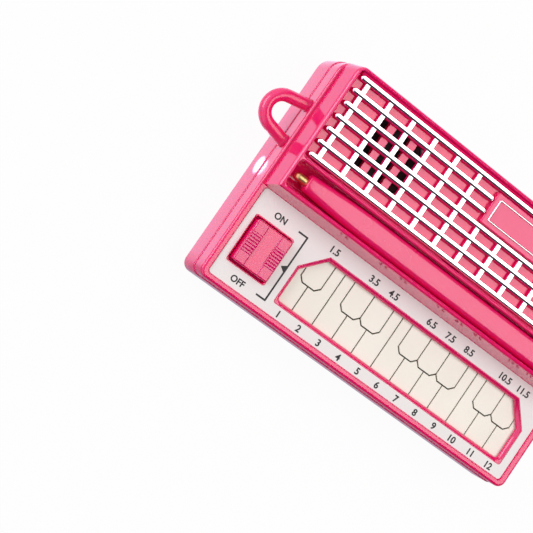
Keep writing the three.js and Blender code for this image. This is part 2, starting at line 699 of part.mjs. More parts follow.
function topShell() {
  const seat = PARTING_HEIGHT + SEAM;
  const whole = pillow(caseOutline(0), seat - 2 * RIM_ROUND, RIM_HEIGHT, RIM_ROUND);
  const cover = whole.subtract(prism(caseOutline(-PAST), seat - 3 * RIM_ROUND, seat));
  const badgeLow = recessFloor - RECESS_FLOOR / 2;
  const badge = pillow(badgeOutline(0), badgeLow, recessFloor + BADGE_HEIGHT, BADGE_ROUND);

  const inside = prism(caseOutline(WALL), seat - PAST, deckUnder);
  const underGrille = block(
    -blockTopHalf + WALL, blockTopHalf - WALL, underGrilleFront, underGrilleBack,
    deckUnder - PAST, recessUnder,
  );
  const rebateTop = PARTING_HEIGHT + TONGUE_HEIGHT + FIT;
  const rebate = prism(caseOutline(WALL - TONGUE_THICKNESS - FIT), seat - PAST, rebateTop);
  const panelPocket = prism(panelOutline(0), panelSeat, RIM_HEIGHT + PAST)
    .subtract(prism(windowOutline(0), panelSeat - PAST, panelFace))
    .subtract(prism(switchOutline(SWITCH_BEVEL + SWITCH_LAND), panelSeat - PAST, panelFace));
  const windowInner = windowOutline(WINDOW_LAND + WINDOW_BEVEL);
  const recessOutline = roundedRect(-recessHalf, recessHalf, recessFront, recessBack, RECESS_CORNER);
  const recess = prism(recessOutline, recessFloor, blockTop + PAST);
  const troughOutline = roundedRect(-recessHalf, recessHalf, troughFront, troughBack, TROUGH_CORNER);
  const pocketOutline = roundedRect(
    -panelHalf, panelHalf, panelFront, panelBack - 2 * RIM_LIP_ROUND, PANEL_CORNER, RIM_LIP_ROUND,
  );
  const tabSlots = [0, GRILLE_ROWS - 1].flatMap((row) => tabColumns.map((x) => block(
    x - GRILLE_TAB_LENGTH / 2 - FIT, x + GRILLE_TAB_LENGTH / 2 + FIT,
    barY(row) - GRILLE_BAR_WIDTH / 2 - GRILLE_TAB_SLOT_REACH, barY(row) + GRILLE_TAB_THICKNESS / 2 + FIT,
    recessUnder - PAST, recessFloor + PAST,
  )));
  const grommetSeat = [
    post(leadX, troughY, GROMMET_FLANGE_RADIUS + FIT, troughFloor, troughFloor + troughDepth / 2),
    post(leadX, troughY, grommetRadius + FIT, deckUnder - PAST, troughFloor + PAST),
  ];
  const loopSockets = [-1, 1].map((side) => {
    const socketEnd = -caseHalf + loopRootLength + FIT;
    return rodAlongX(LOOP_ROD_RADIUS + FIT, -caseHalf - PAST, socketEnd, loopY + side * loopHalf);
  });

  const bosses = screwPlaces.map(([, x, y]) => {
    const ceiling = y > troughBack ? recessUnder : deckUnder;
    return post(x, y, bossRadius, seat, ceiling + THIN_GAP);
  });
  const bores = screwPlaces.map(([, x, y]) => (
    post(x, y, SCREW_RADIUS + FIT, seat - PAST, SCREW_SEAT + SCREW_LENGTH + FIT)
  ));
  const ringInside = speakerRadius + FIT;
  const ringLow = recessUnder - SPEAKER_RING_HEIGHT;
  const ring = post(SPEAKER_X, speakerY, ringInside + SPEAKER_RING, ringLow, recessUnder + THIN_GAP)
    .subtract(post(SPEAKER_X, speakerY, ringInside, ringLow - PAST, recessUnder));

  const shell = cutBy(cover.add(rearBlock()), [
    inside, underGrille, rebate, panelPocket, troughCut(troughOutline), recess,
    ...lipCuts(recessOutline, blockTop, LIP_ROUND),
    ...lipCuts(troughOutline, blockTop, LIP_ROUND),
    ...lipCuts(pocketOutline, RIM_HEIGHT, RIM_LIP_ROUND),
    ...bevelledHole(windowInner, WINDOW_BEVEL),
    ...bevelledHole(switchOutline(0), SWITCH_BEVEL),
  ]);
  const insideShell = prism(caseOutline(WALL / 2), seat, blockTop);
  const fillings = [ring, ...bosses].map((filling) => filling.intersect(insideShell));
  const filled = joined([shell, badge, ...fillings]);
  return cutBy(filled, [...soundHoles(), ...tabSlots, ...grommetSeat, ...loopSockets, ...bores]);
}

// Control panel
function panelOutline(inset) {
  return roundedRect(
    -caseHalf + PANEL_SIDE_RIM + inset, caseHalf - PANEL_SIDE_RIM - inset,
    panelFront + inset, panelBack - inset, PANEL_CORNER,
  );
}

function controlPanel() {
  return cutBy(prism(panelOutline(FIT), panelSeat, panelFace), [
    prism(windowOutline(-FIT), panelSeat - PAST, panelFace + PAST),
    prism(switchOutline(SWITCH_BEVEL + SWITCH_LAND + FIT), panelSeat - PAST, panelFace + PAST),
  ]);
}

// Keyboard: upper pads sit over the dividers between the lower ones
const dividerX = (index) => keyboardX + (index - KEY_COUNT / 2) * KEY_PITCH;
const padFront = windowFront + WINDOW_LAND + WINDOW_BEVEL - PAD_OVERLAP;
const padBack = windowBack - WINDOW_LAND - WINDOW_BEVEL + PAD_OVERLAP;
const halfKeyFront = windowBack - WINDOW_LAND - WINDOW_BEVEL - HALF_KEY_REACH;

function halfKeyOutline(index, grow) {
  const half = (KEY_PITCH - KEY_GAP) / 2 + grow;
  const middle = dividerX(index);
  const front = halfKeyFront + KEY_GAP / 2 - grow;
  const corner = HALF_KEY_CHAMFER + grow * (Math.SQRT2 - 1);
  const back = grow > 0 ? padBack + PAST : padBack;
  const shape = new THREE.Shape();
  shape.moveTo(middle - half + corner, front);
  shape.lineTo(middle + half - corner, front);
  shape.lineTo(middle + half, front + corner);
  shape.lineTo(middle + half, back);
  shape.lineTo(middle - half, back);
  shape.lineTo(middle - half, front + corner);
  return shape;
}

function addKeyboard(parent) {
  const halfKeys = HALF_KEY_AFTER.flatMap((has, place) => (has ? [place + 1] : []));
  const cutters = halfKeys.map((index) => (
    prism(halfKeyOutline(index, KEY_GAP), boardTop - PAST, padTop + PAST)
  ));
  for (let key = 1; key <= KEY_COUNT; key += 1) {
    const whole = block(
      dividerX(key - 1) + KEY_GAP / 2, dividerX(key) - KEY_GAP / 2, padFront, padBack, boardTop, padTop,
    );
    add(parent, `key_pad_${key}`, cutBy(whole, cutters), padIvory);
  }
  for (const index of halfKeys) {
    add(parent, `key_pad_${index}_half`, prism(halfKeyOutline(index, 0), boardTop, padTop), padIvory);
  }
}

// Circuit board with the slide switch and the chip under it
function leverSlot(low, high) {
  return block(switchX - leverSlotX, switchX + leverSlotX, capY - leverSlotY, capY + leverSlotY, low, high);
}

function circuitBoard() {
  const outline = roundedRect(-boardHalf, boardHalf, boardFront, boardBack, FRONT_CORNER);
  return prism(outline, boardUnder, boardTop).subtract(leverSlot(boardUnder - PAST, boardTop + PAST));
}

function slideSwitchBody() {
  const top = boardUnder - THIN_GAP;
  const halfX = SWITCH_BODY_WIDTH / 2;
  const halfY = SWITCH_BODY_LENGTH / 2;
  const low = top - SWITCH_BODY_HEIGHT;
  return block(switchX - halfX, switchX + halfX, capY - halfY, capY + halfY, low, top)
    .subtract(leverSlot(top - SWITCH_SLOT_DEPTH, top + PAST));
}

function switchLever() {
  const half = LEVER_SIZE / 2;
  const low = boardUnder - THIN_GAP - SWITCH_SLOT_DEPTH + RUNNING_GAP;
  return block(switchX - half, switchX + half, capY - half, capY + half, low, capUnder + LEVER_IN_CAP);
}

function switchCap() {
  const outline = roundedRect(
    switchX - CAP_WIDTH / 2, switchX + CAP_WIDTH / 2,
    capY - CAP_LENGTH / 2, capY + CAP_LENGTH / 2, CAP_CORNER,
  );
  const channel = block(
    switchX - CAP_CHANNEL_WIDTH / 2, switchX + CAP_CHANNEL_WIDTH / 2,
    capY - CAP_LENGTH, capY + CAP_LENGTH, capTop - CAP_CHANNEL_DEPTH, capTop + PAST,
  );
  const half = LEVER_SIZE / 2 + FIT;
  const socket = block(
    switchX - half, switchX + half, capY - half, capY + half, capUnder - PAST, capUnder + LEVER_IN_CAP + FIT,
  );
  const flangeHalf = CAP_LENGTH / 2 + FIT + CAP_TRAVEL + CAP_FLANGE_HOLD;
  const flange = block(
    switchX - CAP_WIDTH / 2, switchX + CAP_WIDTH / 2, capY - flangeHalf, capY + flangeHalf,
    capUnder, capUnder + CAP_FLANGE,
  );
  const body = cutBy(pillow(outline, capUnder, capTop, CAP_ROUND).add(flange), [channel, socket]);
  const columnIn = CAP_CHANNEL_WIDTH / 2 + CAP_RIB_MARGIN;
  const columnOut = CAP_WIDTH / 2 - CAP_RIB_MARGIN;
  const ribs = [];
  for (let i = 0; i < CAP_RIBS; i += 1) {
    const y = capY + (i - (CAP_RIBS - 1) / 2) * CAP_RIB_PITCH;
    for (const [near, far] of [[-columnOut, -columnIn], [columnIn, columnOut]]) {
      ribs.push(block(
        switchX + near, switchX + far, y - CAP_RIB_WIDTH / 2, y + CAP_RIB_WIDTH / 2,
        capTop - CAP_RIB_HEIGHT, capTop + CAP_RIB_HEIGHT,
      ));
    }
  }
  return joined([body, ...ribs]);
}

function chipCover() {
  return turned([...domeProfile(CHIP_RADIUS, 0, CHIP_HEIGHT), [0, CHIP_HEIGHT]]);
}

// Speaker
function speakerFrame() {
  const profile = [
    [SPEAKER_BASKET_RADIUS - SPEAKER_SHEET * 2, 0],
    [SPEAKER_BASKET_RADIUS, 0],
    [speakerRadius - SPEAKER_RIM / 2, SPEAKER_BASKET_DEPTH - SPEAKER_RIM],
    [speakerRadius, SPEAKER_BASKET_DEPTH - SPEAKER_RIM],
    [speakerRadius, SPEAKER_BASKET_DEPTH],
    [speakerRadius - SPEAKER_SHEET, SPEAKER_BASKET_DEPTH],
    [speakerRadius - SPEAKER_SHEET, SPEAKER_BASKET_DEPTH - SPEAKER_RIM / 2],
    [SPEAKER_BASKET_RADIUS - SPEAKER_SHEET / 2, SPEAKER_SHEET],
    [SPEAKER_BASKET_RADIUS - SPEAKER_SHEET * 2, SPEAKER_SHEET],
    [SPEAKER_BASKET_RADIUS - SPEAKER_SHEET * 2, 0],
  ];
  const terminal = block(
    -TERMINAL_WIDTH / 2, TERMINAL_WIDTH / 2,
    -SPEAKER_BASKET_RADIUS - TERMINAL_REACH, -SPEAKER_BASKET_RADIUS + SPEAKER_SHEET, 0, TERMINAL_THICKNESS,
  );
  return turned(profile).add(terminal);
}

function speakerCone() {
  const rim = speakerRadius - CONE_MARGIN;
  const top = SPEAKER_BASKET_DEPTH - CONE_SHEET;
  const low = top - CONE_DEPTH;
  return turned([
    [0, low],
    [CONE_CAP_RADIUS, low],
    [rim, top - CONE_SHEET],
    [rim, top],
    [CONE_CAP_RADIUS, low + CONE_SHEET],
    [0, low + 2 * CONE_SHEET],
  ]);
}

// Batteries
function buttonCell() {
  const profile = [
    [0, 0],
    [CELL_RADIUS - CELL_ROUND, 0],
    [CELL_RADIUS, CELL_ROUND],
    [CELL_RADIUS, CELL_THICKNESS - CELL_ROUND],
    [CELL_RADIUS - CELL_ROUND, CELL_THICKNESS],
    [0, CELL_THICKNESS],
  ];
  return alongX(turned(profile));
}

function batteryContact(towards) {
  const halfWidth = CONTACT_WIDTH / 2;
  const halfHeight = CONTACT_HEIGHT / 2;
  const plate = block(0, CONTACT_SHEET, -halfWidth, halfWidth, -halfHeight, halfHeight);
  const bump = post(0, 0, CONTACT_BUMP_RADIUS, CONTACT_SHEET / 2, CONTACT_SHEET + CONTACT_BUMP, ROD_SIDES);
  const contact = plate.add(alongX(bump));
  return towards > 0 ? contact : contact.rotate([0, 0, 180]);
}

function batteryDoor() {
  const low = DOOR_SINK;
  const sheetTop = DOOR_SINK + DOOR_SHEET;
  const plug = block(
    bayLeft + FIT, bayRight - FIT, bayY - bayHalf + FIT, bayY + bayHalf - FIT, low, doorTop,
  );
  const sheet = prism(doorOutline(0), low, sheetTop).add(prism(doorTab(0), low, sheetTop));
  const countersink = turned([
    [0, -PAST],
    [SCREW_HEAD_RADIUS + FIT, -PAST],
    [SCREW_HEAD_RADIUS + FIT, FIT],
    [SCREW_RADIUS + FIT, DOOR_SCREW_HEAD + FIT],
    [SCREW_RADIUS + FIT, DOOR_SHEET + PAST],
    [0, DOOR_SHEET + PAST],
  ]).translate([doorScrewX, bayY, low]);
  return sheet.add(plug).subtract(countersink);
}

// Screws point up; their heads are at the base side
function crossRecess(low) {
  const reach = SCREW_CROSS_LENGTH / 2;
  const half = SCREW_CROSS_WIDTH / 2;
  return block(-reach, reach, -half, half, low - PAST, low + SCREW_CROSS_DEPTH)
    .add(block(-half, half, -reach, reach, low - PAST, low + SCREW_CROSS_DEPTH));
}

function caseScrew() {
  return turned([
    [0, -SCREW_HEAD_HEIGHT],
    [SCREW_HEAD_RADIUS - SCREW_HEAD_ROUND, -SCREW_HEAD_HEIGHT],
    [SCREW_HEAD_RADIUS, -SCREW_HEAD_HEIGHT + SCREW_HEAD_ROUND],
    [SCREW_HEAD_RADIUS, 0],
    [SCREW_RADIUS, 0],
    [SCREW_RADIUS, SCREW_LENGTH - SCREW_POINT],
    [0, SCREW_LENGTH],
  ], ROD_SIDES).subtract(crossRecess(-SCREW_HEAD_HEIGHT));
}

function doorScrew() {
  return turned([
    [0, 0],
    [SCREW_HEAD_RADIUS, 0],
    [SCREW_RADIUS, DOOR_SCREW_HEAD],
    [SCREW_RADIUS, doorScrewLength - SCREW_POINT],
    [0, doorScrewLength],
  ], ROD_SIDES).subtract(crossRecess(0));
}

// Speaker grille: long bars with round ends over lower cross bars, and tabs that drop into the shell
function speakerGrille() {
  const under = recessFloor + FIT;
  const top = blockTop - GRILLE_SINK;
  const half = GRILLE_BAR_WIDTH / 2;
  const left = -recessHalf + GRILLE_END_GAP;
  const right = recessHalf - GRILLE_END_GAP;
  const halfCross = GRILLE_CROSS_WIDTH / 2;
  const badgeClear = BADGE_LEFT - FIT;
  const pieces = [];
  for (let row = 0; row < GRILLE_ROWS; row += 1) {
    const end = BADGE_ROWS.includes(row) ? badgeClear : right;
    const outline = roundedRect(left, end, barY(row) - half, barY(row) + half, half - FLAT_BIT);
    pieces.push(prism(outline, top - GRILLE_BAR_HEIGHT, top));
  }
  for (let x = left + GRILLE_FIRST_CROSS; x + halfCross < right; x += GRILLE_CROSS_PITCH) {
    const firstRow = x + halfCross > badgeClear ? badgeFrontRow : 0;
    const crossTop = top - GRILLE_CROSS_SINK;
    pieces.push(block(x - halfCross, x + halfCross, barY(GRILLE_ROWS - 1), barY(firstRow), under, crossTop));
  }
  for (const row of [0, GRILLE_ROWS - 1]) {
    for (const x of tabColumns) {
      pieces.push(block(
        x - GRILLE_TAB_LENGTH / 2, x + GRILLE_TAB_LENGTH / 2,
        barY(row) - GRILLE_TAB_THICKNESS / 2, barY(row) + GRILLE_TAB_THICKNESS / 2,
        recessFloor - RECESS_FLOOR / 2, top - GRILLE_CROSS_SINK,
      ));
    }
  }
  return joined(pieces);
}

function badgeTrim() {
  const low = recessFloor + BADGE_HEIGHT;
  return prism(badgeOutline(TRIM_INSET), low, low + TRIM_HEIGHT)
    .subtract(prism(badgeOutline(TRIM_INSET + TRIM_WIDTH), low - PAST, low + TRIM_HEIGHT + PAST));
}

// Strap loop: a round rod bent to a U, its legs spread a little and set in the top shell's side
function strapLoop() {
  const spot = (x, y) => new THREE.Vector3(x, loopY + y, loopZ);
  const leg = (side) => [
    spot(-caseHalf + loopRootLength, side * loopHalf),
    spot(-caseHalf, side * loopHalf),
    spot(-caseHalf - LOOP_STUB, side * loopHalf),
    spot(-caseHalf - LOOP_STUB - loopLeg / 2, side * (loopHalf - loopLeg / 2 * Math.tan(LOOP_FLARE))),
  ];
  const bend = [];
  for (let i = 0; i <= TURN_STEPS; i += 1) {
    const angle = Math.PI / 2 + LOOP_FLARE + i / TURN_STEPS * (Math.PI - 2 * LOOP_FLARE);
    const x = -caseHalf - LOOP_REACH + LOOP_BEND * Math.cos(angle);
    bend.push(spot(x, LOOP_BEND * Math.sin(angle)));
  }
  const path = new THREE.CatmullRomCurve3([...leg(1), ...bend, ...leg(-1).reverse()]);
  return tube(path, LOOP_ROD_RADIUS, LOOP_STEPS, ROD_SIDES);
}

// Stylus: built along +X from the nose of its barrel
function stylusBarrel() {
  const body = turned([
    [0, 0],
    [BARREL_NOSE_RADIUS - BARREL_ROUND / 2, 0],
    [BARREL_NOSE_RADIUS, BARREL_ROUND / 2],
    [(BARREL_NOSE_RADIUS + BARREL_RADIUS) / 2 + BARREL_SWELL, BARREL_TAPER / 2],
    [BARREL_RADIUS, BARREL_TAPER],
    [BARREL_RADIUS, barrelLength - BARREL_ROUND],
    [BARREL_RADIUS - BARREL_ROUND, barrelLength],
    [0, barrelLength],
  ]);
  const tipBore = post(0, 0, TIP_RADIUS + FIT, -PAST, BARREL_BORE_DEPTH, ROD_SIDES);
  const leadBoreStart = barrelLength - LEAD_SOCKET - FIT;
  const leadBore = post(0, 0, LEAD_RADIUS + FIT, leadBoreStart, barrelLength + PAST, ROD_SIDES);
  const aboveFlat = block(
    -PAST, barrelLength + PAST, -2 * BARREL_RADIUS, 2 * BARREL_RADIUS, BARREL_FLAT, 2 * BARREL_RADIUS,
  );
  return alongX(cutBy(body, [tipBore, leadBore])).subtract(aboveFlat);
}

function stylusTip() {
  return alongX(turned([
    ...domeProfile(TIP_RADIUS, -TIP_REACH, TIP_DOME),
    [TIP_RADIUS, TIP_SHANK],
    [0, TIP_SHANK],
  ], ROD_SIDES));
}

// A rod through the points, with a ball at each bend
function jointedRod(points, radius, sides) {
  const pieces = [];
  for (let i = 1; i < points.length; i += 1) {
    const line = new THREE.LineCurve3(points[i - 1], points[i]);
    pieces.push(tube(line, radius, 1, sides / 2));
    if (i < points.length - 1) {
      const ball = new THREE.SphereGeometry(radius, sides, sides / 2);
      pieces.push(solidOf(ball.translate(points[i].x, points[i].y, points[i].z)));
    }
  }
  return joined(pieces);
}

function leadGrommet() {
  return turned([
    [LEAD_RADIUS + FIT, deckUnder],
    [grommetRadius, deckUnder],
    [grommetRadius, troughFloor],
    [GROMMET_FLANGE_RADIUS, troughFloor],
    [GROMMET_FLANGE_RADIUS, troughFloor + GROMMET_FLANGE],
    [LEAD_RADIUS + FIT, troughFloor + GROMMET_FLANGE],
    [LEAD_RADIUS + FIT, deckUnder],
  ]);
}

// Wires inside the case: each from a terminal down, across and up to the board
function insideWire(from, acrossZ, to) {
  return jointedRod([
    from,
    new THREE.Vector3(from.x, from.y, acrossZ),
    new THREE.Vector3(to.x, to.y, acrossZ),
    to,
  ], WIRE_RADIUS, WIRE_SIDES);
}

add(synthesizer, 'bottom_shell', bottomShell(), pink);
add(synthesizer, 'top_shell', topShell(), pink);
add(synthesizer, 'control_panel', controlPanel(), panelWhite);
add(synthesizer, 'speaker_grille', speakerGrille(), chrome);
add(synthesizer, 'badge_trim', badgeTrim(), chrome);
add(synthesizer, 'strap_loop', strapLoop(), pink);

const keyboard = new THREE.Group();
addKeyboard(keyboard);
add(keyboard, 'circuit_board', circuitBoard(), boardGreen);
const chipPlace = [CHIP_X, (boardFront + boardBack) / 2, boardUnder - CHIP_HEIGHT];
add(keyboard, 'chip_cover', chipCover(), blackPlastic, chipPlace);
add(keyboard, 'slide_switch_body', slideSwitchBody(), steel);
add(keyboard, 'slide_switch_lever', switchLever(), blackPlastic);
add(keyboard, 'switch_cap', switchCap(), pink);
synthesizer.add(keyboard);

const stylus = new THREE.Group();
stylus.position.set(barrelNoseX, troughY, stylusZ);
add(stylus, 'stylus_barrel', stylusBarrel(), pink);
add(stylus, 'stylus_tip', stylusTip(), gold);
synthesizer.add(stylus);
add(synthesizer, 'lead_grommet', leadGrommet(), blackRubber, [leadX, troughY, 0]);

const speaker = new THREE.Group();
speaker.position.set(SPEAKER_X, speakerY, speakerBase);
add(speaker, 'speaker_frame', speakerFrame(), steel);
add(speaker, 'speaker_cone', speakerCone(), conePaper);
add(speaker, 'speaker_magnet', post(0, 0, MAGNET_RADIUS, -MAGNET_HEIGHT, -THIN_GAP), ferrite);
synthesizer.add(speaker);

const batteries = new THREE.Group();
batteries.position.set(bayLeft, bayY, cellZ);
for (let i = 0; i < CELL_COUNT; i += 1) {
  const x = contactSpace + i * (CELL_THICKNESS + CELL_GAP);
  add(batteries, `button_cell_${i + 1}`, buttonCell(), steel, [x, 0, 0]);
}
add(batteries, 'battery_contact_left', batteryContact(1), steel, [THIN_GAP, 0, 0]);
add(batteries, 'battery_contact_right', batteryContact(-1), steel, [bayLength - THIN_GAP, 0, 0]);
synthesizer.add(batteries);
add(synthesizer, 'battery_door', batteryDoor(), pink);
add(synthesizer, 'battery_door_screw', doorScrew(), steel, [doorScrewX, bayY, doorScrewZ]);

for (const [place, x, y] of screwPlaces) {
  add(synthesizer, `case_screw_${place}`, caseScrew(), steel, [x, y, SCREW_SEAT]);
}

const wireEnd = boardUnder - THIN_GAP;
const terminalY = speakerY - SPEAKER_BASKET_RADIUS - TERMINAL_REACH / 2;
const wireBoardY = boardBack - BOARD_POST_INSET / 2;
for (const [name, side, material] of [['a', -1, redWire], ['b', 1, blackWire]]) {
  const x = SPEAKER_X + side * TERMINAL_SPACING / 2;
  const from = new THREE.Vector3(x, terminalY, speakerBase - THIN_GAP);
  const to = new THREE.Vector3(x, wireBoardY, wireEnd);
  add(synthesizer, `speaker_wire_${name}`, insideWire(from, wireCross, to), material);
}
const batteryWires = [
  ['left', bayLeft - BAY_WALL - WIRE_RADIUS - THIN_GAP, 0, redWire],
  ['right', bayRight + BAY_WALL + WIRE_RADIUS + THIN_GAP, -BATTERY_WIRE_SHIFT, blackWire],
];
for (const [name, x, shift, material] of batteryWires) {
  const from = new THREE.Vector3(x, bayY - CONTACT_WIDTH / 2 + WIRE_RADIUS, bayEndTop - WIRE_RADIUS);
  const to = new THREE.Vector3(x + shift, wireBoardY, wireEnd);
  add(synthesizer, `battery_wire_${name}`, insideWire(from, wireCross, to), material);
}

export default synthesizer;
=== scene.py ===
"""Pocket synthesizer: the finish of its pieces, and the studio that it is photographed in."""

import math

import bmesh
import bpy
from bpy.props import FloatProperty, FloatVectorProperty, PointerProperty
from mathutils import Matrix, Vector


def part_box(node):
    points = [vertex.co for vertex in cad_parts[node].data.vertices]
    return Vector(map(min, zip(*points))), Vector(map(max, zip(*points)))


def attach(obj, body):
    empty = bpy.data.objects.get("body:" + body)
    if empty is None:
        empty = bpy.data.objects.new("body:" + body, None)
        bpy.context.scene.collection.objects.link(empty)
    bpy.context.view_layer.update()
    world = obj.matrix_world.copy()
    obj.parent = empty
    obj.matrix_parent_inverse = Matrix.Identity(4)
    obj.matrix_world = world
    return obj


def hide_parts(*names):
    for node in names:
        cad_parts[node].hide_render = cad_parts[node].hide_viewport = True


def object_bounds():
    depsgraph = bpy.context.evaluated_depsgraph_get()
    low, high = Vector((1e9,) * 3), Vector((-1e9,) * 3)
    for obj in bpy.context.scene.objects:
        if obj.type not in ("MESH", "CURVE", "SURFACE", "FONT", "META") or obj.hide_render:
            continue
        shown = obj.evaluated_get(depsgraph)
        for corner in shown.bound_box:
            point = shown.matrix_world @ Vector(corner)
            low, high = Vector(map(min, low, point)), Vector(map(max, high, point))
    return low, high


bl_info = {
    "name": "Pocket Synthesizer",
    "version": (1, 0, 0),
    "blender": (4, 5, 0),
    "location": "3D View > Sidebar > Synth",
    "description": "Builds the finished pieces of a pocket stylus synthesizer and its studio",
    "category": "Object",
}

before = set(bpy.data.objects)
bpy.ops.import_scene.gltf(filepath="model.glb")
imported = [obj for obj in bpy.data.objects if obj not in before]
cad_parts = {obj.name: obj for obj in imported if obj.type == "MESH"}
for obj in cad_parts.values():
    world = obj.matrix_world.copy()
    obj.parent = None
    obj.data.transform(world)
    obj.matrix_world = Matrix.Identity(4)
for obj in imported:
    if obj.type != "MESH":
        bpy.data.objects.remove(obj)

CAD_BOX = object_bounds()

# The source's unit in metres, and how close points and levels count as one
MM = 0.001
MERGE = 1e-6
NEAR = 10 * MERGE

# Which edges stay sharp, and how much broad faces pull their shading
FLAT_ANGLE = math.radians(0.5)
ROUND_ANGLE = math.radians(50)
FACET_ANGLE = math.radians(30)
FACET_WIDTH = 0.9 * MM
FLAT_WEIGHT = 80

# Steps round a circle and along a rounded edge, the least rounding, and a pole's radius in millimetres
TURNS = 64
EDGE_STEPS = 4
SOFT_EDGE = 0.05 * MM
POLE_RADIUS = 0.004

WHITE = (1, 1, 1, 1)
X_AXIS = Vector((1, 0, 0))
Y_AXIS = Vector((0, 1, 0))
Z_AXIS = Vector((0, 0, 1))


def mm(value):
    """A length of the source's millimetres in metres."""
    return value * MM


def spot(x, y, z):
    """A place of the source's millimetres in metres."""
    return Vector((mm(x), mm(y), mm(z)))


# Sizes, colours and studio that a user would change


def length(name, description, default):
    return FloatProperty(
        name=name, description=description, default=mm(default), unit="LENGTH", precision=5,
    )


def extent(name, description, default):
    return FloatVectorProperty(
        name=name, description=description, default=[mm(part) for part in default], unit="LENGTH",
        size=len(default),
    )


def location(name, description, default):
    return FloatVectorProperty(
        name=name, description=description, default=spot(*default), subtype="TRANSLATION", size=3,
    )


def colour(name, description, default):
    return FloatVectorProperty(
        name=name, description=description, default=default, subtype="COLOR", size=3, min=0, max=1,
    )


def level(name, description, default):
    return FloatProperty(name=name, description=description, default=default, min=0)


class SynthSizes(bpy.types.PropertyGroup):
    seam: length("Seam", "Gap between the two shells", 0.2)
    seam_line: length("Seam line", "Open part of the gap between the two shells", 0.01)
    shoulder: length("Shoulder", "Height of the slope along the lower shell's edge", 0.15)
    shoulder_width: length("Shoulder width", "Width of the slope along the lower shell's edge", 0.18)
    loop_bend: length("Loop bend", "Radius of the strap loop's bend along its middle line", 3.42)
    loop_stub: length("Loop stub", "Straight part of the strap loop's legs outside the case", 0.4)
    bar_width: length("Bar", "Width of the grille's long bars", 1.0)
    bar_ledge: length("Bar ledge", "How far the bars' sides stand out in front of their plating", 0.14)
    plating: length("Plating", "How far down from their tops the grille's bars are plated", 0.32)
    bar_slope: length("Bar slope", "Width of the slope along the front of a long bar", 0.34)
    bar_drop: length("Bar drop", "Height of the slope along a long bar", 0.22)
    grille_depth: length("Grille depth", "Depth of the grille's recess under the bars' tops", 1.35)
    bar_pitch: length("Bar pitch", "Distance between the grille's long bars", 3.0)
    cross_width: length("Cross bar", "Width of the grille's cross bars", 1.05)
    cross_sink: length("Cross bar sink", "How far the cross bars lie under the long ones", 0.35)
    cross_pitch: length("Cross pitch", "Distance between the grille's cross bars", 6.05)
    rib_pitch: length("Rib pitch", "Distance between the ribs of the switch cap", 0.64)
    rib_width: length("Rib", "Width of a rib's foot on the switch cap", 0.62)
    rib_slope: length("Rib slope", "Width of the slope along each side of a rib", 0.16)
    rib_drop: length("Rib drop", "Height of the slope along each side of a rib", 0.1)
    rib_height: length("Rib height", "Height of a rib on the switch cap", 0.1)
    rib_margin: length("Rib margin", "Distance of the ribs from the cap's sides", 0.12)
    rib_inner_margin: length("Inner rib margin", "Distance of the ribs from the cap's channel", 0.05)
    flange_reach: length("Cap flange", "Reach of the switch cap's flange under the deck", 1.05)
    flange_side: length("Cap flange side", "How far the flange stands out at the cap's two sides", 0.4)
    cap_round: length("Cap edge", "Rounding of the switch cap's edges", 0.35)
    channel_width: length("Cap channel", "Width of the channel along the switch cap", 3.1)
    channel_depth: length("Cap channel depth", "Depth of the channel along the switch cap", 0.2)
    barrel_flat: length("Stylus flat", "Height of the stylus's flat over its middle line", 1.7)
    number_height: length("Number height", "Height of the printed numbers", 1.42)
    legend_height: length("Legend height", "Height of the printed words at the switch", 1.32)
    ink: length("Ink", "Thickness of the printing", 0.03)
    stroke: length("Stroke", "Width of the printed bracket", 0.36)
    panel_gap: length("Panel gap", "Gap round the control panel", 0.16)
    bed_sink: length("Bed sink", "How far the bed under the panel lies below its face", 0.12)


class SynthColours(bpy.types.PropertyGroup):
    pink: colour("Pink", "Case plastic", (0.9, 0.005, 0.148))
    pink_deep: colour("Deep pink", "Thicker stretches of the case plastic", (0.87, 0.004, 0.136))
    panel: colour("Panel", "Control panel's film", (0.95, 0.92, 0.88))
    ink: colour("Ink", "Printing on the panel", (0.02, 0.018, 0.018))
    pad: colour("Pad", "Contact pads", (0.99, 0.965, 0.84))
    pad_stain: colour("Pad stain", "Touched places on the contact pads", (0.95, 0.92, 0.79))
    chrome: colour("Chrome", "Plated grille and trim", (0.93, 0.935, 0.93))
    brass: colour("Brass", "Stylus tip", (0.92, 0.66, 0.27))
    steel: colour("Steel", "Screws, cells and contacts", (0.6, 0.6, 0.61))
    board: colour("Board", "Circuit board", (0.045, 0.05, 0.028))
    black: colour("Black", "Rubber and dark plastic", (0.018, 0.018, 0.02))
    paper: colour("Paper", "Speaker cone", (0.03, 0.028, 0.027))
    red: colour("Red", "Red wire", (0.45, 0.02, 0.015))


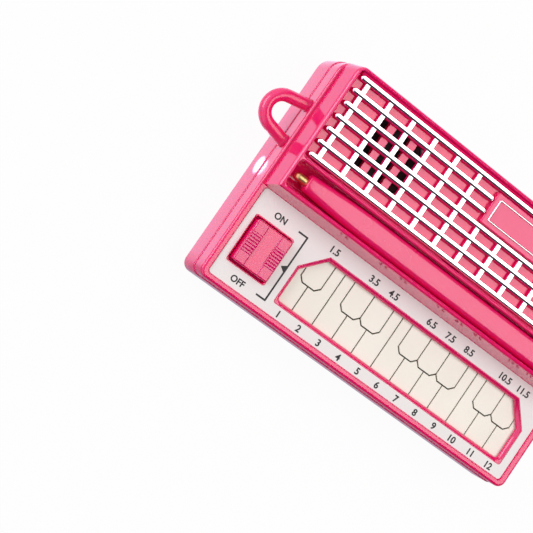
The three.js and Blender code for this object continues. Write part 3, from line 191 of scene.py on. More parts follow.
class SynthStudio(bpy.types.PropertyGroup):
    camera_place: location("Camera", "Where the camera stands", (-150.99, -43.91, 336.42))
    camera_aim: location("Aim", "The point that the camera looks at", (-29.988, -16.705, 10.95))
    camera_roll: FloatProperty(
        name="Roll", description="Turn of the camera about its line of sight", subtype="ANGLE",
        default=math.radians(34.505),
    )
    lens: level("Lens", "Focal length in millimetres", 120.644)
    softbox_place: location("Softbox place", "Where the overhead softbox hangs", (300, 200, 600))
    softbox_aim: location("Softbox aim", "The point that the overhead softbox faces", (300, 200, 0))
    softbox_size: extent("Softbox size", "Sides of the overhead softbox", (380, 660))
    softbox_power: level("Softbox", "Power of the overhead softbox", 1.95)
    softbox_tint: colour("Softbox tint", "Colour of the overhead softbox", (1, 1, 1))
    side_box_place: location("Side box place", "Where the softbox at the left stands", (-500, 30, 200))
    side_box_aim: location("Side box aim", "The point that the softbox at the left faces", (-40, 0, 10))
    side_box_size: extent("Side box size", "Sides of the softbox at the left", (400, 250))
    side_box_power: level("Side box", "Power of the softbox at the left", 1.15)
    side_box_tint: colour("Side box tint", "Colour of the softbox at the left", (0.96, 0.84, 1.0))
    sky: level("Sky", "Light from the bright side of the studio", 0.58)
    dark_side: level("Dark side", "Light from the front of the studio", 0.24)
    left_gloss: level("Left gloss", "Brightness of the studio's left wall in reflections", 1.35)
    dark_gloss: level("Dark gloss", "Brightness of the studio's other walls in reflections", 0.06)
    gloss_tint: colour("Gloss tint", "Tint of the studio's walls in reflections", (0.9, 0.74, 1.0))
    floor_shadow: level("Shadow", "How much of its shadow the floor keeps", 0.05)
    # The floor in reflections carries painted shade before the case, standing in for the case's shadow
    # there
    floor_front: level("Front floor", "Brightness of the floor before the case in reflections", 0.36)
    floor_side: level("Floor", "Brightness of the floor beside the case in reflections", 1.2)
    floor_tint: colour("Floor tint", "Tint of the floor in reflections", (0.88, 0.75, 0.96))
    # A glowing patch on the floor, seen only in reflections, that paints a glint on the case's left side
    glint: level("Glint", "Brightness of the floor's bright patch in reflections", 5.0)
    glint_place: location("Glint place", "Middle of the floor's bright patch", (-43.1, -0.2, 0))
    glint_half: extent("Glint size", "Half the size of the floor's bright patch", (0.85, 2.05, 1))


# Places and meshes


def middle_of(node):
    low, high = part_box(node)
    return (low + high) / 2


def foot_of(node):
    """The middle of a node's underside."""
    middle = middle_of(node)
    return Vector((middle.x, middle.y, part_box(node)[0].z))


def nodes_named(start):
    return [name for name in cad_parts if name.startswith(start)]


def new_object(name, data):
    obj = bpy.data.objects.new(name, data)
    bpy.context.scene.collection.objects.link(obj)
    return obj


def mesh_of(edit, name):
    mesh = bpy.data.meshes.new(name)
    edit.to_mesh(mesh)
    edit.free()
    return mesh


def evaluated_mesh(obj):
    """A plain mesh of an object as its modifiers or its font leave it."""
    depsgraph = bpy.context.evaluated_depsgraph_get()
    return bpy.data.meshes.new_from_object(obj.evaluated_get(depsgraph), depsgraph=depsgraph)


def finished(obj):
    """Turns an object's modifiers into a plain mesh."""
    mesh = evaluated_mesh(obj)
    obj.modifiers.clear()
    old = obj.data
    obj.data = mesh
    bpy.data.meshes.remove(old)
    mesh.name = obj.name
    return obj


def joined(name, objects):
    """One object from several plain ones."""
    edit = bmesh.new()
    for obj in objects:
        edit.from_mesh(obj.data)
        bpy.data.objects.remove(obj)
    return new_object(name, mesh_of(edit, name))


def face_width(face):
    return 2 * face.calc_area() / face.calc_perimeter()


def mark_edges(edit):
    """Keeps an edge sharp where it is steep, or lies between two broad faces."""
    for face in edit.faces:
        face.smooth = True
    for edge in edit.edges:
        turn = edge.calc_face_angle(math.pi)
        broad = min(face_width(face) for face in edge.link_faces) > FACET_WIDTH
        edge.smooth = turn < (FACET_ANGLE if broad else ROUND_ANGLE)


def even_shading(obj):
    """Lets broad faces stay flat beside their narrow rounded edges."""
    weigh = obj.modifiers.new("shading", "WEIGHTED_NORMAL")
    weigh.keep_sharp = True
    weigh.weight = FLAT_WEIGHT
    return finished(obj)


def merged_copy(node):
    """A node's mesh to edit, with its points merged and its flat faces made whole."""
    edit = bmesh.new()
    edit.from_mesh(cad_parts[node].data)
    bmesh.ops.remove_doubles(edit, verts=edit.verts, dist=MERGE)
    bmesh.ops.dissolve_limit(edit, angle_limit=FLAT_ANGLE, verts=edit.verts, edges=edit.edges)
    return edit


def moulded_copy(node, name, reshape=None):
    """A copy of a node with its narrow lips shaded round."""
    edit = merged_copy(node)
    if reshape:
        reshape(edit)
    mark_edges(edit)
    return even_shading(new_object(name, mesh_of(edit, name)))


def lofted(name, loops, ring=False, crisp=False):
    """A closed skin over a stack of loops that have equal numbers of points."""
    edit = bmesh.new()
    rings = [[edit.verts.new(point) for point in loop] for loop in loops]
    count = len(loops[0])
    pairs = list(zip(rings, rings[1:]))
    if ring:
        pairs.append((rings[-1], rings[0]))
    else:
        edit.faces.new(list(reversed(rings[0])))
        edit.faces.new(rings[-1])
    for low, high in pairs:
        for i in range(count):
            j = (i + 1) % count
            edit.faces.new((low[i], low[j], high[j], high[i]))
    bmesh.ops.recalc_face_normals(edit, faces=edit.faces)
    if crisp:
        return new_object(name, mesh_of(edit, name))
    mark_edges(edit)
    return even_shading(new_object(name, mesh_of(edit, name)))


def rounded_outline(limits, corner, inset=0.0):
    """Points round a rectangle with round corners."""
    x0, x1, y0, y1 = limits
    x0, x1, y0, y1 = x0 + inset, x1 - inset, y0 + inset, y1 - inset
    radius = max(corner - inset, MERGE)
    corners = (
        (x1 - radius, y0 + radius, -90),
        (x1 - radius, y1 - radius, 0),
        (x0 + radius, y1 - radius, 90),
        (x0 + radius, y0 + radius, 180),
    )
    points = []
    for x, y, start in corners:
        for i in range(EDGE_STEPS + 1):
            turn = math.radians(start + 90 * i / EDGE_STEPS)
            points.append((x + radius * math.cos(turn), y + radius * math.sin(turn)))
    return points


def stacked(limits, corner, levels):
    """Loops round a rectangle with round corners, one for each inset and height."""
    loops = []
    for inset, z in levels:
        loops.append([Vector((x, y, z)) for x, y in rounded_outline(limits, corner, inset)])
    return loops


def pillow(name, limits, low, high, corner, edge):
    """A plate with round corners and a rounded upper edge."""
    levels = [(0.0, low)]
    for i in range(EDGE_STEPS + 1):
        turn = math.pi / 2 * i / EDGE_STEPS
        levels.append((edge * (1 - math.cos(turn)), high - edge + edge * math.sin(turn)))
    return lofted(name, stacked(limits, corner, levels))


def circle_at(centre, radius, across, up, turns=TURNS):
    """Points round a centre in the plane of two directions."""
    points = []
    for i in range(turns):
        turn = 2 * math.pi * i / turns
        points.append(centre + radius * (math.cos(turn) * across + math.sin(turn) * up))
    return points


def turned(name, profile, centre, axis):
    """A turned piece: the profile lists distances along the axis and radii, in millimetres."""
    across = Y_AXIS if axis == X_AXIS else X_AXIS
    up = axis.cross(across)
    loops = []
    for along, radius in profile:
        loops.append(circle_at(centre + mm(along) * axis, mm(max(radius, POLE_RADIUS)), across, up))
    return lofted(name, loops)


def slab(edit, corners, low, high):
    """A thin straight-sided slab over a flat outline."""
    base = [edit.verts.new((x, y, low)) for x, y in corners]
    top = [edit.verts.new((x, y, high)) for x, y in corners]
    edit.faces.new(list(reversed(base)))
    edit.faces.new(top)
    for i in range(len(corners)):
        j = (i + 1) % len(corners)
        edit.faces.new((base[i], base[j], top[j], top[i]))


def settle(piece, finish_name, body, slot, *nodes):
    """Gives a piece its finish and says what it rides on and stands for."""
    piece.data.materials.clear()
    piece.data.materials.append(FINISHES[finish_name])
    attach(piece, body)
    if nodes:
        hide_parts(*nodes)
    return piece


def dress(finish_name, *nodes):
    """Gives nodes that keep their own shape a finish."""
    for node in nodes:
        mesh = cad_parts[node].data
        mesh.materials.clear()
        mesh.materials.append(FINISHES[finish_name])


# Nodes


def wired(tree, kind, inputs, **settings):
    """A new node with its settings made, and its inputs linked to sockets or set to values."""
    node = tree.nodes.new(kind)
    for name, value in settings.items():
        setattr(node, name, value)
    for label, value in inputs.items():
        if isinstance(value, bpy.types.NodeSocket):
            tree.links.new(value, node.inputs[label])
        else:
            node.inputs[label].default_value = value
    return node


def calculated(tree, operation, first, second):
    return wired(tree, "ShaderNodeMath", {0: first, 1: second}, operation=operation).outputs[0]


def ranged(tree, value, before, after):
    """A value carried from one range to another."""
    ends = zip(("From Min", "From Max", "To Min", "To Max"), (*before, *after))
    return wired(tree, "ShaderNodeMapRange", {"Value": value, **dict(ends)}).outputs["Result"]


def mixed(tree, factor, first, second, kind="FLOAT"):
    """One value or colour mixed with another."""
    inputs = {"Factor": factor, "A": first, "B": second}
    return wired(tree, "ShaderNodeMix", inputs, data_type=kind).outputs["Result"]


def mixed_shader(tree, factor, first, second):
    return wired(tree, "ShaderNodeMixShader", {"Fac": factor, 1: first, 2: second}).outputs[0]


# Geometry Nodes for rows of equal pieces


def row_tree():
    """A tree that sets copies of a piece along a line."""
    tree = bpy.data.node_groups.new("piece_row", "GeometryNodeTree")
    sockets = (
        ("Piece", "NodeSocketObject"),
        ("Count", "NodeSocketInt"),
        ("Start", "NodeSocketVector"),
        ("Step", "NodeSocketVector"),
        ("Finish", "NodeSocketMaterial"),
    )
    for label, kind in sockets:
        tree.interface.new_socket(label, in_out="INPUT", socket_type=kind)
    tree.interface.new_socket("Geometry", in_out="OUTPUT", socket_type="NodeSocketGeometry")
    given = tree.nodes.new("NodeGroupInput").outputs
    end = tree.nodes.new("NodeGroupOutput")
    line = wired(tree, "GeometryNodeMeshLine", {
        "Count": given["Count"], "Start Location": given["Start"], "Offset": given["Step"],
    })
    piece = wired(tree, "GeometryNodeObjectInfo", {"Object": given["Piece"]})
    copies = wired(tree, "GeometryNodeInstanceOnPoints", {
        "Points": line.outputs["Mesh"], "Instance": piece.outputs["Geometry"],
    })
    real = wired(tree, "GeometryNodeRealizeInstances", {"Geometry": copies.outputs["Instances"]})
    paint = wired(tree, "GeometryNodeSetMaterial", {
        "Geometry": real.outputs["Geometry"], "Material": given["Finish"],
    })
    tree.links.new(paint.outputs["Geometry"], end.inputs["Geometry"])
    return tree


def row(name, piece, count, start, step, finish_name):
    """Copies of a piece along a line, as one plain mesh."""
    tree = bpy.data.node_groups.get("piece_row") or row_tree()
    obj = new_object(name, bpy.data.meshes.new(name))
    modifier = obj.modifiers.new("row", "NODES")
    modifier.node_group = tree
    values = {
        "Piece": piece, "Count": count, "Start": start, "Step": step, "Finish": FINISHES[finish_name],
    }
    for socket in tree.interface.items_tree:
        if socket.in_out == "INPUT":
            modifier[socket.identifier] = values[socket.name]
    return finished(obj)


# Shader groups that several finishes share

FLOAT_SOCKET = "NodeSocketFloat"
COLOUR_SOCKET = "NodeSocketColor"
GRAIN_DETAIL = 2.0
TONE_DETAIL = 3.0
GLOSS_DETAIL = 4.0
TONE_SPAN = (0.35, 0.7)
GLOSS_SPAN = (0.3, 0.7)
GRAIN_DEPTH = mm(0.05)
GROUPS = {}
FINISHES = {}


def group_tree(name, inputs, outputs):
    """An empty group with named inputs and outputs."""
    tree = bpy.data.node_groups.new(name, "ShaderNodeTree")
    for direction, sockets in (("INPUT", inputs), ("OUTPUT", outputs)):
        for label, kind in sockets.items():
            tree.interface.new_socket(label, in_out=direction, socket_type=kind)
    return tree, tree.nodes.new("NodeGroupInput").outputs, tree.nodes.new("NodeGroupOutput").inputs


def noise_in(tree, given, detail):
    """Noise over the piece at the group's own scale."""
    place = tree.nodes.new("ShaderNodeTexCoord").outputs["Object"]
    inputs = {"Vector": place, "Scale": given["Scale"], "Detail": detail}
    return wired(tree, "ShaderNodeTexNoise", inputs).outputs["Fac"]


def grain_group():
    """Fine relief of a moulded or plated skin."""
    tree, given, result = group_tree("skin_grain", {"Scale": FLOAT_SOCKET}, {"Height": FLOAT_SOCKET})
    tree.links.new(noise_in(tree, given, GRAIN_DETAIL), result["Height"])
    return tree


def tone_group():
    """Slow change of colour over a surface."""
    inputs = {"Scale": FLOAT_SOCKET, "Main": COLOUR_SOCKET, "Other": COLOUR_SOCKET}
    tree, given, result = group_tree("tone_drift", inputs, {"Color": COLOUR_SOCKET})
    share = ranged(tree, noise_in(tree, given, TONE_DETAIL), TONE_SPAN, (0, 1))
    tree.links.new(mixed(tree, share, given["Main"], given["Other"], "RGBA"), result["Color"])
    return tree


def gloss_group():
    """Roughness that drifts between two values, as handled plastic and metal do."""
    inputs = {"Scale": FLOAT_SOCKET, "Least": FLOAT_SOCKET, "Most": FLOAT_SOCKET}
    tree, given, result = group_tree("gloss_drift", inputs, {"Roughness": FLOAT_SOCKET})
    noise = noise_in(tree, given, GLOSS_DETAIL)
    tree.links.new(ranged(tree, noise, GLOSS_SPAN, (given["Least"], given["Most"])), result["Roughness"])
    return tree


def group_node(tree, name, **values):
    return wired(tree, "ShaderNodeGroup", values, node_tree=GROUPS[name]).outputs[0]


def finish(name, main, other, tone_scale, gloss, gloss_scale, grain_scale, grain, **sockets):
    """A finish with drifting colour and gloss and a fine relief."""
    material = bpy.data.materials.new(name)
    material.use_nodes = True
    tree = material.node_tree
    shader = tree.nodes["Principled BSDF"]
    for label, value in sockets.items():
        shader.inputs[label.replace("_", " ")].default_value = value
    tone = group_node(tree, "tone", Scale=tone_scale, Main=(*main, 1), Other=(*other, 1))
    drift = group_node(tree, "gloss", Scale=gloss_scale, Least=gloss[0], Most=gloss[1])
    relief = group_node(tree, "grain", Scale=grain_scale)
    bump = wired(tree, "ShaderNodeBump", {"Strength": grain, "Distance": GRAIN_DEPTH, "Height": relief})
    tree.links.new(tone, shader.inputs["Base Color"])
    tree.links.new(drift, shader.inputs["Roughness"])
    tree.links.new(bump.outputs["Normal"], shader.inputs["Normal"])
    return material


def shade(tone, factor):
    return [part * factor for part in tone]


def make_finishes():
    tones = bpy.context.scene.synth_colours
    moulded = {
        "main": tones.pink,
        "other": tones.pink_deep,
        "tone_scale": 45,
        "gloss_scale": 90,
        "grain_scale": 1600,
        "Subsurface_Weight": 0.3,
        "Subsurface_Radius": (1.0, 0.12, 0.1),
        "Subsurface_Scale": mm(0.8),
    }
    wire = {"tone_scale": 200, "gloss": (0.4, 0.5), "gloss_scale": 300, "grain_scale": 2000, "grain": 0.05}
    GROUPS.update(grain=grain_group(), tone=tone_group(), gloss=gloss_group())
    FINISHES.update(
        pink=finish(
            "pink_gloss_plastic", gloss=(0.12, 0.18), grain=0.03, Coat_Weight=0.9, Coat_Roughness=0.04,
            **moulded,
        ),
        satin=finish(
            "pink_satin_plastic", gloss=(0.24, 0.3), grain=0.03, Coat_Weight=0.9, Coat_Roughness=0.11,
            **moulded,
        ),
        inside=finish(
            "pink_dull_plastic", gloss=(0.6, 0.7), grain=0.05, Specular_IOR_Level=0.1, **moulded,
        ),
        panel=finish(
            "silver_white_film", tones.panel, shade(tones.panel, 0.97), tone_scale=60,
            gloss=(0.42, 0.5), gloss_scale=200, grain_scale=6000, grain=0.1,
        ),
        ink=finish(
            "panel_ink", tones.ink, shade(tones.ink, 1.4), tone_scale=300,
            gloss=(0.45, 0.6), gloss_scale=300, grain_scale=6000, grain=0.05,
        ),
        pad=finish(
            "ivory_contact", tones.pad, tones.pad_stain, tone_scale=90,
            gloss=(0.28, 0.38), gloss_scale=150, grain_scale=3000, grain=0.04,
        ),
        chrome=finish(
            "bright_chrome", tones.chrome, shade(tones.chrome, 0.97), tone_scale=80,
            gloss=(0.05, 0.1), gloss_scale=150, grain_scale=2500, grain=0.02, Metallic=1.0,
        ),
        brass=finish(
            "polished_brass", tones.brass, shade(tones.brass, 0.85), tone_scale=400,
            gloss=(0.3, 0.4), gloss_scale=500, grain_scale=4000, grain=0.04, Metallic=1.0,
        ),
        steel=finish(
            "plated_steel", tones.steel, shade(tones.steel, 0.85), tone_scale=200,
            gloss=(0.25, 0.4), gloss_scale=400, grain_scale=4000, grain=0.06, Metallic=1.0,
        ),
        board=finish(
            "board_laminate", tones.board, shade(tones.board, 0.8), tone_scale=200,
            gloss=(0.45, 0.6), gloss_scale=300, grain_scale=3000, grain=0.06,
        ),
        black=finish(
            "black_plastic", tones.black, shade(tones.black, 1.5), tone_scale=300,
            gloss=(0.4, 0.55), gloss_scale=400, grain_scale=3000, grain=0.06,
        ),
        rubber=finish(
            "black_rubber", tones.black, shade(tones.black, 1.8), tone_scale=300,
            gloss=(0.65, 0.8), gloss_scale=400, grain_scale=2500, grain=0.12,
        ),
        ferrite=finish(
            "dull_ferrite", shade(tones.black, 1.6), tones.black, tone_scale=500,
            gloss=(0.6, 0.75), gloss_scale=500, grain_scale=3000, grain=0.2,
        ),
        paper=finish(
            "cone_paper", tones.paper, shade(tones.paper, 1.6), tone_scale=900,
            gloss=(0.75, 0.9), gloss_scale=500, grain_scale=2500, grain=0.4,
        ),
        red_wire=finish("red_wire", tones.red, shade(tones.red, 0.85), **wire),
        black_wire=finish("black_wire", tones.black, shade(tones.black, 1.4), **wire),
    )


# Case


class SYNTH_OT_case(bpy.types.Operator):
    """Builds the two shells and the battery door"""

    bl_idname = "synth.case"
    bl_label = "Case"

    def execute(self, context):
        for node, name, body, reshape in (
            ("top_shell", "upper_case", "case", None),
            ("bottom_shell", "lower_case", "case", self.close_seam),
            ("battery_door", "door_plate", "battery_door", None),
        ):
            settle(moulded_copy(node, name, reshape), "pink", body, "pink_plastic", node)
        return {"FINISHED"}

    def close_seam(self, edit):
        """Raises the lower shell's edge until only a fine line stays open, and slopes its outer side."""
        sizes = bpy.context.scene.synth_sizes
        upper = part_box("top_shell")[0].z
        edge = [v for v in edit.verts if abs(v.co.z - upper + sizes.seam) < NEAR]
        for vertex in edge:
            vertex.co.z = upper - sizes.seam_line
        cut = upper - sizes.shoulder
        bmesh.ops.bisect_plane(
            edit, geom=edit.verts[:] + edit.edges[:] + edit.faces[:], dist=MERGE,
            plane_co=(0, 0, cut), plane_no=Z_AXIS,
        )
        edit.normal_update()
        for vertex in edge:
            below = [e for e in vertex.link_edges if abs(e.other_vert(vertex).co.z - cut) < NEAR]
            if below:
                sides = [face.normal for face in below[0].link_faces]
                vertex.co -= sum(sides, Vector()).normalized() * sizes.shoulder_width


# Strap loop

ROD_TURNS = 32
LEG_STEPS = 12
BEND_STEPS = 40
SMOOTHINGS = 3
ROOT_SPREAD = 0.15
ROOT_REACH = mm(0.3)


class SYNTH_OT_loop(bpy.types.Operator):
    """Bends the strap loop's rod and spreads its roots"""

    bl_idname = "synth.loop"
    bl_label = "Strap Loop"

    def execute(self, context):
        sizes = context.scene.synth_sizes
        low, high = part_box("strap_loop")
        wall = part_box("top_shell")[0].x
        radius = (high.z - low.z) / 2
        half = (high.y - low.y) / 2 - radius
        bend = sizes.loop_bend
        middle = Vector((low.x + radius + bend, (low.y + high.y) / 2, (low.z + high.z) / 2))
        line = self.middle_line(half, bend, high.x - middle.x, wall - sizes.loop_stub - middle.x)
        rings = []
        for before, here, after in zip(line, line[1:], line[2:]):
            out = (after - before).cross(Z_AXIS).normalized()
            gap = wall - middle.x - here.x
            spread = ROOT_SPREAD * math.exp(-gap / ROOT_REACH) if gap >= 0 else 0.0
            rings.append(circle_at(middle + here, radius * (1 + spread), out, Z_AXIS, ROD_TURNS))
        settle(lofted("loop_rod", rings), "satin", "case", "pink_plastic", "strap_loop")
        return {"FINISHED"}

    def middle_line(self, half, bend, root, kink):
        """Points along the rod from one root to the other, seen from the middle of the bend."""
        turn = math.atan2(half, kink) + math.acos(bend / math.hypot(half, kink))
        start, corner = Vector((root, half, 0)), Vector((kink, half, 0))
        touch = Vector((bend * math.cos(turn), bend * math.sin(turn), 0))
        leg = [start.lerp(corner, i / LEG_STEPS) for i in range(LEG_STEPS)]
        leg += [corner.lerp(touch, i / LEG_STEPS) for i in range(LEG_STEPS)]
        arc = []
        for i in range(BEND_STEPS + 1):
            here = turn + (2 * math.pi - 2 * turn) * i / BEND_STEPS
            arc.append(Vector((bend * math.cos(here), bend * math.sin(here), 0)))
        line = leg + arc + [Vector((point.x, -point.y, 0)) for point in reversed(leg)]
        for _ in range(SMOOTHINGS):
            inner = [(a + 2 * b + c) / 4 for a, b, c in zip(line, line[1:], line[2:])]
            line = [line[0], *inner, line[-1]]
        return line


# Control panel and its printing

KEY_COUNT = 12

# Text before it is scaled: what is added to its strokes, half its depth, and the steps of its curves
TEXT_OFFSET = 0.026
TEXT_DEPTH = 0.05
TEXT_STEPS = 4

# Distances of the numbers from the pads, and of the words and the bracket from the switch cap
NUMBER_FRONT = mm(1.76)
NUMBER_BACK = mm(1.94)
NUMBER_SHIFT = mm(0.15)
HALF_NUMBER_SHIFT = mm(0.05)
WORD_FRONT = mm(1.77)
WORD_BACK = mm(1.59)
WORD_SHIFT = mm(-0.2)
BRACKET_FRONT = mm(1.71)
BRACKET_BACK = mm(1.59)
BRACKET_LEFT = mm(0.14)
BRACKET_RIGHT = mm(2.4)
POINTER_LENGTH = mm(1.3)
POINTER_HALF = mm(0.75)
POINTER_SHIFT = mm(-0.16)


def text_mesh(body, **settings):
    """A plain mesh of a text in Blender's own font."""
    font = bpy.data.curves.new("print", "FONT")
    font.body = body
    for name, value in settings.items():
        setattr(font, name, value)
    obj = new_object("print", font)
    mesh = evaluated_mesh(obj)
    bpy.data.objects.remove(obj)
    bpy.data.curves.remove(font)
    return mesh


def print_mesh(body, height):
    """A printed number or word, its middle at the origin."""
    mesh = text_mesh(body, offset=TEXT_OFFSET, extrude=TEXT_DEPTH, resolution_u=TEXT_STEPS)
    figure = text_mesh("8")
    rows = [v.co.y for v in figure.vertices]
    bpy.data.meshes.remove(figure)
    columns = [v.co.x for v in mesh.vertices]
    scale = height / (max(rows) - min(rows))
    shift = Vector(((max(columns) + min(columns)) / 2, (max(rows) + min(rows)) / 2, 0))
    depth = bpy.context.scene.synth_sizes.ink / scale / (2 * TEXT_DEPTH)
    for vertex in mesh.vertices:
        vertex.co -= shift
        vertex.co.z *= depth
        vertex.co *= scale
    return mesh


def printed(name, items, height):
    """One piece from printed items, each a text with its place."""
    edit = bmesh.new()
    for body, place in items:
        mesh = print_mesh(body, height)
        mesh.transform(Matrix.Translation(place))
        edit.from_mesh(mesh)
        bpy.data.meshes.remove(mesh)
    bmesh.ops.remove_doubles(edit, verts=edit.verts, dist=MERGE)
    bmesh.ops.dissolve_degenerate(edit, edges=edit.edges, dist=MERGE)
    return new_object(name, mesh_of(edit, name))


class SYNTH_OT_panel(bpy.types.Operator):
    """Finishes the control panel and prints its numbers, words and bracket"""

    bl_idname = "synth.panel"
    bl_label = "Control Panel"

    def execute(self, context):
        sizes = context.scene.synth_sizes
        dress("panel", "control_panel")
        settle(self.bed(sizes), "pink", "case", "pink_plastic")
        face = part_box("control_panel")[1].z + sizes.ink / 2
        pieces = [
            printed("key_numbers", self.numbers(face), sizes.number_height),
            printed("switch_words", self.words(face), sizes.legend_height),
            self.bracket(sizes, face),
        ]
        for piece in pieces:
            settle(piece, "ink", "case", "panel_film")
        return {"FINISHED"}

    def bed(self, sizes):
        """The bed that the panel lies in, which closes the gap round it."""
        edit = merged_copy("control_panel")
        edit.normal_update()
        for vertex in edit.verts:
            out = Vector((vertex.normal.x, vertex.normal.y, 0)).normalized()
            sink = sizes.bed_sink if vertex.normal.z > 0 else 0.0
            vertex.co += out * sizes.panel_gap - Z_AXIS * sink
        return new_object("panel_bed", mesh_of(edit, "panel_bed"))

    def numbers(self, face):
        """The whole keys' numbers in front of the pads, and the others' behind them."""
        low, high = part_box("key_pad_1")
        lower, upper = low.y - NUMBER_FRONT, high.y + NUMBER_BACK
        items = []
        for key in range(1, KEY_COUNT + 1):
            x = middle_of(f"key_pad_{key}").x + NUMBER_SHIFT
            items.append((str(key), Vector((x, lower, face))))
            half = f"key_pad_{key}_half"
            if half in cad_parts:
                x = middle_of(half).x + HALF_NUMBER_SHIFT
                items.append((f"{key}.5", Vector((x, upper, face))))
        return items

    def words(self, face):
        low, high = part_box("switch_cap")
        x = middle_of("switch_cap").x + WORD_SHIFT
        return [
            ("ON", Vector((x, high.y + WORD_BACK, face))),
            ("OFF", Vector((x, low.y - WORD_FRONT, face))),
        ]

    def bracket(self, sizes, face):
        """The bracket at the right of the cap, with its pointer."""
        cap_low, cap_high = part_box("switch_cap")
        low, high = face - sizes.ink / 2, face + sizes.ink / 2
        half = sizes.stroke / 2
        left, right = cap_high.x + BRACKET_LEFT, cap_high.x + BRACKET_RIGHT
        back, front = cap_high.y + BRACKET_BACK, cap_low.y - BRACKET_FRONT
        inner, outer = right - half, right + half
        middle = middle_of("switch_cap").y + POINTER_SHIFT
        tip = right - POINTER_LENGTH
        edit = bmesh.new()
        slab(edit, [
            (left, front - half), (outer, front - half), (outer, back + half), (left, back + half),
            (left, back - half), (inner, back - half), (inner, front + half), (left, front + half),
        ], low, high)
        pointer = [(inner, middle + POINTER_HALF), (tip, middle), (inner, middle - POINTER_HALF)]
        slab(edit, pointer, low, high)
        bmesh.ops.recalc_face_normals(edit, faces=edit.faces)
        return new_object("switch_bracket", mesh_of(edit, "switch_bracket"))


# Keyboard, board and the pieces inside

# A cell's profile in millimetres: distances from its front and its back, each with an inset from the rim
CELL_FRONT = ((0, 1.3), (0.25, 1.2), (0.3, 0.9), (0.35, 0.3), (0.65, 0))
CELL_BACK = ((0.4, 0), (0.1, 0.1), (0, 0.4))


class SYNTH_OT_insides(bpy.types.Operator):
    """Finishes the keyboard, the board, the speaker, the cells and the wires"""

    bl_idname = "synth.insides"
    bl_label = "Keyboard and Insides"

    def execute(self, context):
        dress("pad", *nodes_named("key_pad"))
        dress("board", "circuit_board")
        dress("black", "chip_cover", "slide_switch_lever")
        dress("steel", "slide_switch_body", "speaker_frame", *nodes_named("battery_contact"))
        dress("ferrite", "speaker_magnet")
        dress("paper", "speaker_cone")
        dress("red_wire", "speaker_wire_a", "battery_wire_left")
        dress("black_wire", "speaker_wire_b", "battery_wire_right")
        self.cells()
        return {"FINISHED"}

    def cells(self):
        cells = nodes_named("button_cell")
        low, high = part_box(cells[0])
        middle = middle_of(cells[0])
        thick = (high.x - low.x) / MM
        radius = (high.z - low.z) / 2 / MM
        profile = [(0, 0)]
        profile += [(along, radius - inset) for along, inset in CELL_FRONT]
        profile += [(thick - along, radius - inset) for along, inset in CELL_BACK]
        profile.append((thick, 0))
        sample = turned("cell_sample", profile, Vector(), X_AXIS)
        start = Vector((low.x, middle.y, middle.z))
        step = X_AXIS * (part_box(cells[1])[0].x - low.x)
        piece = row("cells", sample, len(cells), start, step, "steel")
        bpy.data.objects.remove(sample)
        settle(piece, "steel", "case", "steel", *cells)


# Slide switch's cap

CAP_CORNER = mm(0.5)
FLANGE_HEIGHT = mm(0.3)
RIB_COUNT = 7
RIB_CORNER = mm(0.2)


class SYNTH_OT_cap(bpy.types.Operator):
    """Builds the slide switch's ribbed cap"""

    bl_idname = "synth.cap"
    bl_label = "Switch Cap"

    def execute(self, context):
        sizes = context.scene.synth_sizes
        low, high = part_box("switch_cap")
        top = high.z - sizes.rib_height
        bed = top - sizes.channel_depth
        front, back = low.y + sizes.flange_reach, high.y - sizes.flange_reach
        edge = sizes.cap_round
        limits = (low.x - sizes.flange_side, high.x + sizes.flange_side, low.y, high.y)
        flange = pillow("cap_flange", limits, low.z, low.z + FLANGE_HEIGHT, CAP_CORNER, SOFT_EDGE)
        settle(flange, "inside", "switch", "pink_plastic")
        pieces = [pillow("cap_body", (low.x, high.x, front, back), low.z, bed, CAP_CORNER, edge)]
        for x0, x1 in self.columns(sizes):
            pieces.append(pillow("cap_column", (x0, x1, front, back), bed - edge, top, CAP_CORNER, edge))
        pieces += self.ribs(sizes, top)
        settle(joined("switch_slider", pieces), "pink", "switch", "pink_plastic", "switch_cap")
        return {"FINISHED"}

    def columns(self, sizes, outer=0.0, inner=0.0):
        """The sides of the two columns beside the channel, moved in by two margins."""
        low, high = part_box("switch_cap")
        middle = (low.x + high.x) / 2
        reach = sizes.channel_width / 2 + inner
        return (low.x + outer, middle - reach), (middle + reach, high.x - outer)

    def ribs(self, sizes, top):
        half = sizes.rib_width / 2
        first = middle_of("switch_cap").y - (RIB_COUNT - 1) / 2 * sizes.rib_pitch
        start, step = Y_AXIS * first, Y_AXIS * sizes.rib_pitch
        rows = []
        for x0, x1 in self.columns(sizes, sizes.rib_margin, sizes.rib_inner_margin):
            sample = self.rib((x0, x1, -half, half), top, sizes)
            rows.append(row("cap_ribs", sample, RIB_COUNT, start, step, "pink"))
            bpy.data.objects.remove(sample)
        return rows

    def rib(self, limits, top, sizes):
        """A rib with sloping sides and a flat top."""
        peak = top + sizes.rib_height
        levels = ((0.0, top - sizes.cap_round), (0.0, peak - sizes.rib_drop), (sizes.rib_slope, peak))
        return lofted("rib_sample", stacked(limits, RIB_CORNER, levels), crisp=True)


# Stylus, with its lengths in millimetres

# The barrel's nose: distances along it and radii
BARREL_NOSE = ((2.0, 0.9), (0.0, 0.9), (0.0, 1.55), (0.06, 1.72), (0.2, 1.85), (0.45, 1.92))
TAPER_START = 0.45
TAPER_END = 16.0
TAPER_RADIUS = 1.9
TAPER_BOW = 1.6
TAPER_STEPS = 12

# The barrel's end: distances from it and insets, and the bore in it
BARREL_END = ((0.6, 0), (0.2, 0.12), (0, 0.45))
END_BORE_RADIUS = 0.75
END_BORE_DEPTH = 1.6

# The flat's turn towards the back, how crisp its edges are, and the least upward share that it reaches
FLAT_TILT = math.radians(8)
FLAT_CRISPNESS = 4.0
FLAT_SHARE = 0.15

# The tip: its dome, how far it stands out of the barrel and how far it reaches in
TIP_RADIUS = 0.85
TIP_DOME = 1.2
TIP_REACH = 2.9
TIP_ROOT = 1.8
TIP_STEPS = 12

